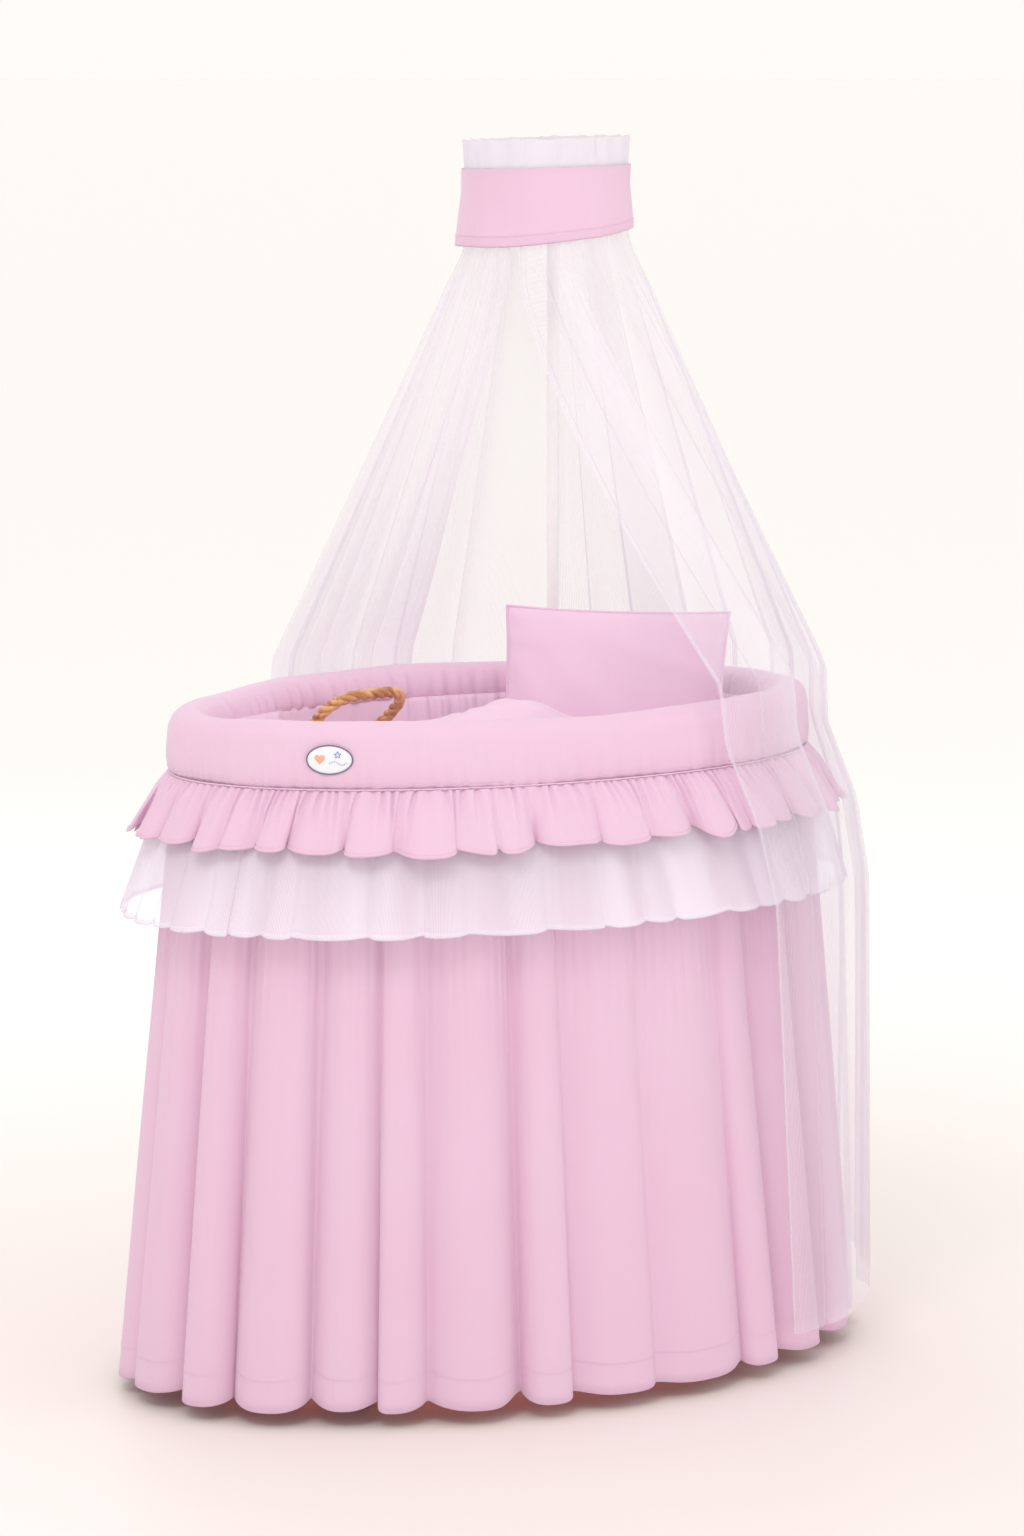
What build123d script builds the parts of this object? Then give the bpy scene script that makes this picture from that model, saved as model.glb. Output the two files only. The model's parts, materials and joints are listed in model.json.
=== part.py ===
from build123d import *
import math
import os

# Oval wicker baby crib on a wheeled stand, with bedding, a full skirt and a canopy.
# Millimetres. +Z is up, +X points to the head end, +Y to the far long side.
# The origin is on the floor under the middle of the crib.

# ---- driving sizes: stand -------------------------------------------------
STAND_TOP = 542.0            # top of the side rails
LEG_SECTION = 32.0
LEG_INSET_X = 85.0           # leg centres inside the basket's foot, head and foot ends
LEG_INSET_Y = 20.0           # the same at the long sides
RAIL_THICKNESS = 22.0
RAIL_HEIGHT = 50.0
STRETCHER_HEIGHT = 34.0
SHELF_HEIGHT = 150.0         # underside of the lower stretchers
SLAT_THICKNESS = 14.0
SHELF_SLAT_WIDTH = 56.0
SHELF_SLAT_COUNT = 5
CRADLE_SLAT_WIDTH = 64.0
CRADLE_SLAT_SHARES = (-0.72, 0.0, 0.72)   # of the legs' distance from the middle
CRADLE_SLAT_OVERHANG = 27.0  # past the side rails
STOP_SIZE = 16.0             # block that keeps the basket from sliding
STOP_HEIGHT = 22.0
BOLT_RADIUS = 3.0
BOLT_HEAD_RADIUS = 6.5
BOLT_HEAD_HEIGHT = 3.5
BOLT_GRIP = 60.0             # length of bolt beyond the leg's face
SIDE_BOLT_DROP = 14.0        # side bolts pass below the end bolts
SCREW_RADIUS = 2.0
SCREW_HEAD_RADIUS = 4.0
SCREW_LENGTH = 26.0

# ---- driving sizes: castors ----------------------------------------------
WHEEL_RADIUS = 30.0
WHEEL_WIDTH = 18.0
TYRE_THICKNESS = 6.0
AXLE_RADIUS = 3.0
CASTOR_TRAIL = 18.0          # wheel centre behind the swivel axis
FORK_THICKNESS = 3.0
FORK_PLATE_THICKNESS = 4.0
FORK_PLATE_RADIUS = 20.0
FORK_NOSE = 14.0             # front of the cheeks, ahead of the swivel axis
FORK_EYE = 8.0               # half width of a cheek round the axle
FORK_TAIL = 6.0              # cheek behind the brake's pivot
WHEEL_CLEARANCE = 8.0        # tyre to the fork's plate
CHEEK_CLEARANCE = 2.0        # wheel's side to a cheek
SWIVEL_GAP = 0.5             # fork's plate under the fixed plate
KINGPIN_RADIUS = 4.0
KINGPIN_HEAD_RADIUS = 6.5
KINGPIN_HEAD_HEIGHT = 2.5
HUB_RIM = 3.0                # wall under the tyre
HUB_BOSS = 4.0               # wall round the bore
HUB_HOLLOW = 5.0             # depth of the hollow each side
AXLE_HEAD = 2.0
STEM_RADIUS = 5.0
STEM_LENGTH = 48.0
CASTOR_PLATE_THICKNESS = 3.5
BRAKE_PIVOT_RADIUS = 2.5
BRAKE_BOSS_RADIUS = 5.0
BRAKE_PEDAL_LENGTH = 34.0
BRAKE_PEDAL_THICKNESS = 4.0
BRAKE_PEDAL_CORNER = 5.0
BRAKE_LOBE_HALF = 3.0        # half thickness of the pressing lobe
BRAKE_LOBE_ANGLE = 20.0      # lobe turned off the line to the wheel when released
BRAKE_GAP = 0.6              # lobe to tyre along that line

# ---- driving sizes: basket -----------------------------------------------
BASKET_DEPTH = 244.0         # cradle slats to the top of the woven wall
BASKET_TOP_LENGTH = 796.0    # outside
BASKET_TOP_WIDTH = 456.0
BASKET_TAPER_LENGTH = 63.0   # each end comes in by this much at the bottom
BASKET_TAPER_WIDTH = 53.0    # and each long side by this much
WICKER_WALL = 8.0
WICKER_FLOOR = 10.0
BORDER_HEIGHT = 18.0
BORDER_WIDTH = 18.0
BORDER_OVERHANG = 3.0        # past the wall's outside
MATTRESS_HEIGHT = 70.0
MATTRESS_EDGE = 8.0           # rounding of its top and bottom edges
LINING_THICKNESS = 20.0

# ---- driving sizes: covers -----------------------------------------------
RIM_CROWN = 18.0             # padding over the woven border
RIM_OVERHANG = 27.0          # padded rim past the wall's outside
RIM_BAND_HEIGHT = 79.0       # rim top down to the ruffle seam
RIM_PADDING = 11.0
RIM_LIP = 34.0               # how far the roll reaches down inside
RIM_SEAM_INSET = 3.0         # band pulled in at the seam
RIM_SEAM_RISE = 20.0         # and full again this far above it
RIM_ROLL_PROFILE = ((12.0, 0.0), (4.0, 4.0), (0.0, 14.0))   # (below the top, in from the side)
RIM_INNER_BEVEL = 6.0
COTTON_RUFFLE_DROP = 65.0
COTTON_RUFFLE_FLARE = 40.0
TULLE_RUFFLE_DROP = 166.0
TULLE_RUFFLE_FLARE = 56.0
RUFFLE_THICKNESS = 2.5
SKIRT_HEM = 25.0             # clear of the floor
SKIRT_SPREAD_LENGTH = 46.0   # hem past the padded rim, each end
SKIRT_SPREAD_WIDTH = 57.0    # and each long side
SKIRT_THICKNESS = 4.0
SLIT_WIDTH = 42.0            # opening in the covers round the pole
SLIT_CLEARANCE = 2.8         # skirt to pole where that opening ends

# ---- driving sizes: bedding ----------------------------------------------
DUVET_END_GAP = 66.0         # duvet to the lining at head and foot
DUVET_SIDE_GAP = 38.8
DUVET_SHIFT = -20.0          # towards the foot
# (height, half length and half width beyond the duvet's own) from its underside to its crown
DUVET_PROFILE = ((0.0, -14.0, -14.0), (16.0, 0.0, 0.0), (70.0, 6.0, 6.0),
                 (118.0, -14.0, -14.0), (144.0, -60.0, -44.0), (168.0, -130.0, -84.0))
PILLOW_WIDTH_SHARE = 0.806   # of the room between the linings
PILLOW_HEIGHT = 280.0
PILLOW_THICKNESS = 44.0
PILLOW_CORNER = 45.0
PILLOW_EDGE = 16.0           # rounding round its faces
PILLOW_LEAN = 12.0           # degrees back from upright
PILLOW_TURN = -43.0          # degrees, its back to the far corner of the head end
PILLOW_FOOT_SHARES = (0.486, 0.1)   # of the room's half length and half width
PILLOW_FOOT_RISE = 12.0      # corner of the pillow above the mattress

# ---- driving sizes: handles ----------------------------------------------
HANDLE_X = -128.0            # middle of each handle along the basket
HANDLE_SPAN = 118.0
HANDLE_REACH = 82.0
HANDLE_RADIUS = 7.5
HANDLE_PIN_RADIUS = 3.0
HANDLE_DROP = 24.0           # pivots under the top of the wall
HANDLE_LEANS = {"near": 72.0, "far": 50.0}   # degrees inward from upright, as they lie at rest
LOOP_RADIUS = 7.0
LOOP_WIDTH = 8.0
LOOP_STEM_RADIUS = 2.8
LOOP_STANDOFF = 3.0          # loop to the lining
LOOP_SLOT_HALF = 9.0         # opening in the lining round each loop
HANDLE_CORNER_SHARE = 0.45   # bend radius as a share of the reach

# ---- driving sizes: canopy -----------------------------------------------
POLE_FROM_LEG = 38.0         # pole axis to the leg's, along the side
POLE_STANDOFF = 9.0          # pole to the padded rim
POLE_RADIUS = 10.0
POLE_WALL = 1.5
POLE_JOINT_DROP = 56.0       # top of the lower tube under the rim's top
POLE_OVERLAP = 60.0
UPPER_POLE_RADIUS = 8.0
RING_RADIUS = 100.0
RING_WIRE = 4.0
RING_RISE = 594.0            # ring over the rim's top
RING_TURN = 56.2             # degrees, direction from ring centre to pole
BRACKET_WIDTH = 28.0
BRACKET_HEIGHT = 30.0
BRACKET_MARGIN = 14.0        # pole axis to the bracket's outer face
BRACKET_DROP = 10.0          # upper bracket under the rail's top
KNOB_THREAD_RADIUS = 3.0
KNOB_RADIUS = 13.0
KNOB_THICKNESS = 10.0
KNOB_GAP = 3.0               # knob's grip to the bracket
KNOB_SCALLOP_RADIUS = 4.5
KNOB_SCALLOPS = 6
POLE_FOOT_DROP = 12.0        # pole's end below the lower bracket
POLE_CAP = 4.0               # closed end of the pole
SASH_BELOW = 46.0            # from the ring's height
SASH_ABOVE = 50.0
SASH_THICKNESS = 3.0
HEADER_HEIGHT = 36.0
DRAPE_THICKNESS = 2.0
DRAPE_HEM = 78.0
DRAPE_FOLDS_BEFORE = 20      # facets from the near edge to the pole
DRAPE_FOLDS_AFTER = 14       # facets from the pole to the far edge
DRAPE_SPREAD_LENGTH = 67.0   # hem past the padded rim, each end
DRAPE_SPREAD_WIDTH = 69.0    # and each long side
DRAPE_OVER_RIM = 24.0        # height above the rim where the drape stands clear of it
DRAPE_OVER_SEAM = 30.0       # and above the seam
DRAPE_RING_EDGES = (-137.0, 217.0)     # free edges in degrees: round the ring,
DRAPE_RIM_EDGES = (-68.0, 118.0)       # then round the crib from the rim down
DRAPE_BAND_EDGES = (-64.0, 119.0)
DRAPE_COTTON_EDGES = (-60.0, 120.0)
DRAPE_TULLE_EDGES = (-58.0, 121.0)
DRAPE_HEM_EDGES = (-57.0, 122.0)
DRAPE_BULGE = 26.0           # cloth pushed out round the pole
DRAPE_BULGE_WIDTH = 16.0     # degrees
BADGE_LENGTH = 54.0
BADGE_HEIGHT = 34.0
BADGE_THICKNESS = 1.6
BADGE_ANGLE = -137.0         # degrees round the rim, on the near side

# ---- clearances ------------------------------------------------------------
RUN_GAP = 0.05               # radial, pin in a hole
SOFT_GAP = 1.0               # between soft pieces and their neighbours
SWAY_GAP = 7.0               # cloth that hangs free of what is behind it
FIT_GAP = 0.02               # tube plugged into tube

basket_bottom_a = BASKET_TOP_LENGTH / 2 - BASKET_TAPER_LENGTH
basket_bottom_b = BASKET_TOP_WIDTH / 2 - BASKET_TAPER_WIDTH
leg_x = basket_bottom_a - LEG_INSET_X
leg_y = basket_bottom_b - LEG_INSET_Y
ends = {"foot": -1, "head": 1}
sides = {"near": -1, "far": 1}
corners = [(e, s, ends[e] * leg_x, sides[s] * leg_y) for e in ends for s in sides]
floor_z = STAND_TOP + SLAT_THICKNESS
bed_z = floor_z + WICKER_FLOOR
basket_top = floor_z + BASKET_DEPTH
handle_pivot_z = basket_top - HANDLE_DROP
rim_top = basket_top + BORDER_HEIGHT + RIM_CROWN
rim_a = BASKET_TOP_LENGTH / 2 + RIM_OVERHANG
rim_b = BASKET_TOP_WIDTH / 2 + RIM_OVERHANG
seam_z = rim_top - RIM_BAND_HEIGHT
castor_height = (2 * WHEEL_RADIUS + WHEEL_CLEARANCE + FORK_PLATE_THICKNESS + SWIVEL_GAP
                 + CASTOR_PLATE_THICKNESS)
pole_x = leg_x - POLE_FROM_LEG
pole_y = rim_b * math.sqrt(1 - (pole_x / rim_a) ** 2) + POLE_RADIUS + POLE_STANDOFF
pole_joint_z = rim_top - POLE_JOINT_DROP
lower_bracket_z = SHELF_HEIGHT
upper_bracket_z = STAND_TOP - BRACKET_DROP - BRACKET_HEIGHT
ring_z = rim_top + RING_RISE
sash_bottom = ring_z - SASH_BELOW
sash_top = ring_z + SASH_ABOVE
header_top = sash_top + HEADER_HEIGHT


def box(x0, y0, z0, x1, y1, z1):
    """A block between two corners."""
    low = (min(x0, x1), min(y0, y1), min(z0, z1))
    size = (abs(x1 - x0), abs(y1 - y0), abs(z1 - z0))
    return Pos(*low) * Box(*size, align=(Align.MIN, Align.MIN, Align.MIN))


def rod(start, end, radius):
    """A round bar from one point to another."""
    path = Vector(*end) - Vector(*start)
    where = Plane(origin=start, z_dir=path).location
    return where * Cylinder(radius, path.length, align=(Align.CENTER, Align.CENTER, Align.MIN))


def oval_body(levels):
    """A solid through ovals given as (height, half length, half width)."""
    sections = [Plane.XY.offset(z) * Ellipse(a, b) for z, a, b in levels]
    return loft(sections, ruled=True)


def oval_shell(levels, wall):
    """An open oval tube of an even wall through the given ovals."""
    low, high = levels[0], levels[-1]
    slope = [(h - l) / (high[0] - low[0]) for h, l in zip(high[1:], low[1:])]
    inner = [(z, a - wall, b - wall) for z, a, b in levels]
    inner[0] = (low[0] - 1, low[1] - wall - slope[0], low[2] - wall - slope[1])
    inner[-1] = (high[0] + 1, high[1] - wall + slope[0], high[2] - wall + slope[1])
    return oval_body(levels) - oval_body(inner)


def basket_half(z):
    """Half length and half width of the wicker wall's outside at a height."""
    share = (z - floor_z) / BASKET_DEPTH
    return basket_bottom_a + BASKET_TAPER_LENGTH * share, basket_bottom_b + BASKET_TAPER_WIDTH * share


def save(name, shape):
    """Writes one node."""
    export_step(shape, f"parts/{name}.step")


def group(shapes):
    """Several separate solids as one node."""
    return Compound(children=[s for shape in shapes for s in shape.solids()])


# ---- stand -----------------------------------------------------------------
def bolt_places():
    """Axis start, direction and head place of each frame bolt."""
    heights = (STAND_TOP - RAIL_HEIGHT / 2, SHELF_HEIGHT + STRETCHER_HEIGHT / 2)
    places = []
    for e, s, x, y in corners:
        face = x + ends[e] * LEG_SECTION / 2
        places += [((face, y, z), (-ends[e], 0, 0)) for z in heights]
        side_face = y + sides[s] * LEG_SECTION / 2
        places.append(((x, side_face, heights[0] - SIDE_BOLT_DROP), (0, -sides[s], 0)))
    return places


def along(point, direction, length):
    return tuple(p + d * length for p, d in zip(point, direction))


def bolt_hole(place):
    point, direction = place
    return rod(along(point, direction, -1), along(point, direction, BOLT_GRIP), BOLT_RADIUS)


def bolt(place):
    point, direction = place
    shank = rod(point, along(point, direction, BOLT_GRIP), BOLT_RADIUS)
    head = rod(along(point, direction, -BOLT_HEAD_HEIGHT), point, BOLT_HEAD_RADIUS)
    socket_depth = BOLT_HEAD_HEIGHT * 0.6
    start = along(point, direction, -BOLT_HEAD_HEIGHT)
    hexagon = Plane(origin=start, z_dir=direction) * RegularPolygon(BOLT_HEAD_RADIUS * 0.5, 6)
    return shank + head - extrude(hexagon, socket_depth)


def screw_places():
    """Head centres of the countersunk screws that hold the slats."""
    cradle = [(x, s * leg_y, floor_z) for x in cradle_slat_x() for s in (-1, 1)]
    shelf_top = SHELF_HEIGHT + STRETCHER_HEIGHT + SLAT_THICKNESS
    shelf = [(x, s * leg_y, shelf_top) for x in shelf_slat_x() for s in (-1, 1)]
    return cradle + shelf


def cradle_slat_x():
    """Middles of the slats that carry the basket."""
    return [leg_x * share for share in CRADLE_SLAT_SHARES]


def shelf_slat_x():
    """Middles of the shelf slats, evenly spaced between the legs."""
    span = 2 * leg_x - LEG_SECTION
    step = span / SHELF_SLAT_COUNT
    return [step * (i + 0.5) - span / 2 for i in range(SHELF_SLAT_COUNT)]


def screw(place):
    x, y, z = place
    shank = rod((x, y, z), (x, y, z - SCREW_LENGTH), SCREW_RADIUS)
    sink = SCREW_HEAD_RADIUS - SCREW_RADIUS
    head = Pos(x, y, z - sink / 2) * Cone(SCREW_RADIUS, SCREW_HEAD_RADIUS, sink)
    slot = box(x - SCREW_HEAD_RADIUS, y - 0.5, z - 1, x + SCREW_HEAD_RADIUS, y + 0.5, z + 1)
    return shank + head - slot


def screw_hole(place):
    x, y, z = place
    shank = rod((x, y, z + 1), (x, y, z - SCREW_LENGTH), SCREW_RADIUS)
    sink = SCREW_HEAD_RADIUS - SCREW_RADIUS
    return shank + Pos(x, y, z - sink / 2) * Cone(SCREW_RADIUS, SCREW_HEAD_RADIUS, sink)


def cut(shape, tools):
    """Takes away only the tools that reach the shape."""
    bounds = shape.bounding_box()
    for tool in tools:
        if bounds.overlaps(tool.bounding_box()):
            shape = shape - tool
    return shape


def make_stand():
    bolts = bolt_places()
    screws = screw_places()
    bolt_holes = [bolt_hole(p) for p in bolts]
    screw_holes = [screw_hole(p) for p in screws]
    half = LEG_SECTION / 2
    for e, s, x, y in corners:
        leg = box(x - half, y - half, castor_height, x + half, y + half, STAND_TOP)
        leg = fillet(leg.edges().filter_by(Axis.Z), 4)
        stem_hole = rod((x, y, castor_height - 1), (x, y, castor_height + STEM_LENGTH), STEM_RADIUS)
        save(f"leg_{e}_{s}", cut(leg, bolt_holes + [stem_hole]))
    inner_x = leg_x - half
    inner_y = leg_y - half
    for s, sign in sides.items():
        y0 = sign * leg_y - RAIL_THICKNESS / 2
        rail = box(-inner_x, y0, STAND_TOP - RAIL_HEIGHT, inner_x, y0 + RAIL_THICKNESS, STAND_TOP)
        save(f"side_rail_{s}", cut(rail, bolt_holes + screw_holes))
        top = SHELF_HEIGHT + STRETCHER_HEIGHT
        stretcher = box(-inner_x, y0, SHELF_HEIGHT, inner_x, y0 + RAIL_THICKNESS, top)
        save(f"stretcher_{s}", cut(stretcher, bolt_holes + screw_holes))
    for e, sign in ends.items():
        x0 = sign * leg_x - RAIL_THICKNESS / 2
        rail = box(x0, -inner_y, STAND_TOP - RAIL_HEIGHT, x0 + RAIL_THICKNESS, inner_y, STAND_TOP)
        save(f"end_rail_{e}", cut(rail, bolt_holes))
    save("cradle_slats", group(cut(slat, screw_holes) for slat in cradle_slats()))
    save("basket_stops", group(basket_stops()))
    save("shelf_slats", group(cut(slat, screw_holes) for slat in shelf_slats()))
    save("frame_bolts", group(bolt(p) for p in bolts))
    save("slat_screws", group(screw(p) for p in screws))


def cradle_slats():
    """Cross slats on the side rails; the basket rests on them."""
    half = CRADLE_SLAT_WIDTH / 2
    reach = leg_y + RAIL_THICKNESS / 2 + CRADLE_SLAT_OVERHANG
    return [box(x - half, -reach, STAND_TOP, x + half, reach, floor_z) for x in cradle_slat_x()]


def basket_stops():
    """Small blocks on the slat ends, close outside the basket's foot."""
    stops = []
    for x in cradle_slat_x():
        nearest = abs(abs(x) - STOP_SIZE / 2) if x else 0
        a, b = basket_half(floor_z + STOP_HEIGHT)
        inner = b * math.sqrt(1 - (nearest / a) ** 2) + 2 * SOFT_GAP
        for sign in (-1, 1):
            y = sign * inner
            stop = box(x - STOP_SIZE / 2, y, floor_z, x + STOP_SIZE / 2, y + sign * STOP_SIZE / 2,
                       floor_z + STOP_HEIGHT)
            stops.append(stop)
    return stops


def shelf_slats():
    """Slats of the lower shelf, laid across the stretchers."""
    low = SHELF_HEIGHT + STRETCHER_HEIGHT
    reach = leg_y + RAIL_THICKNESS / 2
    half = SHELF_SLAT_WIDTH / 2
    return [box(x - half, -reach, low, x + half, reach, low + SLAT_THICKNESS)
            for x in shelf_slat_x()]


# ---- castors ---------------------------------------------------------------
fork_top = castor_height - CASTOR_PLATE_THICKNESS - SWIVEL_GAP
fork_plate_z = fork_top - FORK_PLATE_THICKNESS
cheek_inside = WHEEL_WIDTH / 2 + CHEEK_CLEARANCE
brake_pivot = (-CASTOR_TRAIL - WHEEL_RADIUS + 2, fork_plate_z - BRAKE_BOSS_RADIUS - 2)


def castor_stem(x, y):
    """Fixed plate and stem, with the pin that the fork turns on."""
    plate = rod((x, y, castor_height - CASTOR_PLATE_THICKNESS), (x, y, castor_height), LEG_SECTION / 2)
    stem = rod((x, y, castor_height), (x, y, castor_height + STEM_LENGTH), STEM_RADIUS)
    head_top = fork_plate_z - RUN_GAP
    head_low = head_top - KINGPIN_HEAD_HEIGHT
    pin = rod((x, y, head_low), (x, y, castor_height), KINGPIN_RADIUS)
    head = rod((x, y, head_low), (x, y, head_top), KINGPIN_HEAD_RADIUS)
    return plate + stem + pin + head


def castor_fork(x, y, braked):
    """Swivelling fork: round plate and two cheeks."""
    plate = rod((x, y, fork_plate_z), (x, y, fork_top), FORK_PLATE_RADIUS)
    tail, height = brake_pivot
    if braked:
        rear = [(tail - FORK_TAIL, fork_plate_z), (tail - FORK_TAIL, height - BRAKE_BOSS_RADIUS)]
    else:
        rear = [(-CASTOR_TRAIL - FORK_EYE, fork_plate_z)]
    eye_low = WHEEL_RADIUS - FORK_EYE
    outline = [(FORK_NOSE, fork_top), (FORK_NOSE, fork_plate_z - FORK_TAIL),
               (FORK_EYE - CASTOR_TRAIL, eye_low), (-FORK_EYE - CASTOR_TRAIL, eye_low),
               *reversed(rear), (rear[0][0], fork_top)]
    cheeks = []
    for sign in (-1, 1):
        inside = y + sign * cheek_inside
        profile = Plane(origin=(x, inside, 0), x_dir=(1, 0, 0), z_dir=(0, -1, 0)) * make_face(
            Polyline(*outline, close=True))
        cheeks.append(extrude(profile, -sign * FORK_THICKNESS))
    bridge_reach = rear[0][0]
    width = cheek_inside + FORK_THICKNESS
    bridge = box(x + bridge_reach, y - width, fork_plate_z, x + FORK_NOSE, y + width, fork_top)
    fork = plate + bridge + cheeks[0] + cheeks[1]
    fork -= rod((x, y, fork_plate_z - 1), (x, y, fork_top + 1), KINGPIN_RADIUS + RUN_GAP)
    wheel_x = x - CASTOR_TRAIL
    fork -= rod((wheel_x, y - 30, WHEEL_RADIUS), (wheel_x, y + 30, WHEEL_RADIUS), AXLE_RADIUS)
    if braked:
        fork -= rod((x + tail, y - 30, height), (x + tail, y + 30, height),
                    BRAKE_PIVOT_RADIUS + RUN_GAP)
    return fork


def castor_axle(x, y):
    wheel_x = x - CASTOR_TRAIL
    outside = cheek_inside + FORK_THICKNESS
    pin = rod((wheel_x, y - outside, WHEEL_RADIUS), (wheel_x, y + outside, WHEEL_RADIUS), AXLE_RADIUS)
    for sign in (-1, 1):
        start = (wheel_x, y + sign * outside, WHEEL_RADIUS)
        end = (wheel_x, y + sign * (outside + AXLE_HEAD), WHEEL_RADIUS)
        pin += rod(start, end, AXLE_RADIUS + AXLE_HEAD)
    return pin


def wheel_hub(x, y):
    """Disc hub with a boss round its bore and a hollow each side."""
    wheel_x = x - CASTOR_TRAIL
    rim = WHEEL_RADIUS - TYRE_THICKNESS
    half = WHEEL_WIDTH / 2
    centre = (wheel_x, y, WHEEL_RADIUS)
    hub = rod(along(centre, (0, -1, 0), half), along(centre, (0, 1, 0), half), rim)
    for sign in (-1, 1):
        hollow_out = along(centre, (0, sign, 0), half + 1)
        hollow_in = along(centre, (0, sign, 0), half - HUB_HOLLOW)
        boss = rod(hollow_in, hollow_out, AXLE_RADIUS + HUB_BOSS)
        hub -= rod(hollow_in, hollow_out, rim - HUB_RIM) - boss
    bore = rod(along(centre, (0, -1, 0), 20), along(centre, (0, 1, 0), 20), AXLE_RADIUS + RUN_GAP)
    return hub - bore


def tyre(x, y):
    wheel_x = x - CASTOR_TRAIL
    half = WHEEL_WIDTH / 2
    low, high = (wheel_x, y - half, WHEEL_RADIUS), (wheel_x, y + half, WHEEL_RADIUS)
    outer = rod(low, high, WHEEL_RADIUS)
    outer = fillet(outer.edges(), 3)
    return outer - rod(low, high, WHEEL_RADIUS - TYRE_THICKNESS)


def brake_lever(x, y):
    """Pedal with a pressing lobe that closes on the tyre."""
    tail, height = brake_pivot
    px = x + tail
    inside = cheek_inside - 0.5
    outside = cheek_inside + FORK_THICKNESS
    lever = rod((px, y - inside, height), (px, y + inside, height), BRAKE_BOSS_RADIUS)
    lever += rod((px, y - outside, height), (px, y + outside, height), BRAKE_PIVOT_RADIUS)
    pedal = box(px - BRAKE_PEDAL_LENGTH, y - inside, height - BRAKE_PEDAL_THICKNESS / 2,
                px, y + inside, height + BRAKE_PEDAL_THICKNESS / 2)
    pedal = fillet(pedal.edges().filter_by(Axis.Z).group_by(Axis.X)[0], BRAKE_PEDAL_CORNER)
    gap_to_tyre = math.hypot(tail + CASTOR_TRAIL, height - WHEEL_RADIUS) - WHEEL_RADIUS
    half = BRAKE_LOBE_HALF
    lobe = box(0, -inside, -half, gap_to_tyre - BRAKE_GAP, inside, half)
    lobe = fillet(lobe.edges().filter_by(Axis.Y).group_by(Axis.X)[-1], half - 1)
    to_wheel = math.degrees(math.atan2(height - WHEEL_RADIUS, -CASTOR_TRAIL - tail))
    lobe_angle = to_wheel + BRAKE_LOBE_ANGLE
    return lever + pedal + Pos(px, y, height) * Rot(0, lobe_angle, 0) * lobe


def make_castors():
    save("castor_stems", group(castor_stem(x, y) for e, s, x, y in corners))
    for e, s, x, y in corners:
        braked = e == "foot"
        save(f"castor_fork_{e}_{s}", castor_fork(x, y, braked))
        save(f"castor_axle_{e}_{s}", castor_axle(x, y))
        save(f"wheel_hub_{e}_{s}", wheel_hub(x, y))
        save(f"tyre_{e}_{s}", tyre(x, y))
        if braked:
            save(f"brake_lever_{e}_{s}", brake_lever(x, y))


# ---- wicker basket ---------------------------------------------------------
def make_basket():
    low = basket_half(bed_z)
    top = basket_half(basket_top)
    foot = basket_half(floor_z)
    save("wicker_floor", oval_body([(floor_z, *foot), (bed_z, *low)]))
    save("wicker_wall", oval_shell([(bed_z, *low), (basket_top, *top)], WICKER_WALL))
    border_out = (top[0] + BORDER_OVERHANG, top[1] + BORDER_OVERHANG)
    border = oval_shell([(basket_top, *border_out), (basket_top + BORDER_HEIGHT, *border_out)],
                        BORDER_WIDTH)
    save("wicker_border", fillet(border.edges().group_by(Axis.Z)[-1], 6))


def inside_half(z, away):
    """Half sizes of the basket's inside at a height, less a distance."""
    a, b = basket_half(z)
    return a - WICKER_WALL - away, b - WICKER_WALL - away


# ---- handles ---------------------------------------------------------------
def handle_plane(sign):
    """Hinge frame of a handle: X along the pins, Z up, at the middle."""
    a, b = inside_half(handle_pivot_z, LINING_THICKNESS + SOFT_GAP)
    half = HANDLE_SPAN / 2 + LOOP_WIDTH
    ys = [b * math.sqrt(1 - ((HANDLE_X + d) / a) ** 2) for d in (-half, half)]
    step_in = LOOP_RADIUS + LOOP_STANDOFF
    middle = (HANDLE_X, sign * (sum(ys) / 2 - step_in), handle_pivot_z)
    return Plane(origin=middle, x_dir=(2 * half, sign * (ys[1] - ys[0]), 0), z_dir=(0, 0, 1))


def handle(sign, lean):
    """Arched wicker grip with a pin at each end, leaning into the basket."""
    half = HANDLE_SPAN / 2
    corner = HANDLE_REACH * HANDLE_CORNER_SHARE
    path = FilletPolyline((-half, 0, 0), (-half, 0, HANDLE_REACH), (half, 0, HANDLE_REACH),
                          (half, 0, 0), radius=corner)
    grip = sweep(Plane(origin=(-half, 0, 0), z_dir=(0, 0, 1)) * Circle(HANDLE_RADIUS), path=path)
    pin_end = half + LOOP_WIDTH + HANDLE_RADIUS
    for direction in (-1, 1):
        knuckle = Pos(direction * half, 0, 0) * Sphere(HANDLE_RADIUS)
        pin = rod((direction * half, 0, 0), (direction * pin_end, 0, 0), HANDLE_PIN_RADIUS)
        grip = grip + knuckle + pin
    leaning = Rot(sign * lean, 0, 0) * grip
    return handle_plane(sign).location * leaning


def handle_loops(sign):
    """Loops of split cane that hold the handle's pins, tied to the wall."""
    plane = handle_plane(sign)
    half = HANDLE_SPAN / 2 + HANDLE_RADIUS + 1
    loops = []
    for direction in (-1, 1):
        start = direction * half
        end = start + direction * (LOOP_WIDTH - 2)
        ring = rod((start, 0, 0), (end, 0, 0), LOOP_RADIUS)
        middle = (start + end) / 2
        stem = rod((middle, 0, 0), (middle, sign * HANDLE_REACH, 0), LOOP_STEM_RADIUS)
        loop = ring + stem
        loop -= rod((start - 20, 0, 0), (end + 20, 0, 0), HANDLE_PIN_RADIUS + RUN_GAP)
        keep = oval_body([(z, *inside_half(z, 0)) for z in (bed_z, basket_top)])
        loops.append(plane.location * loop & keep)
    return loops


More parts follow.
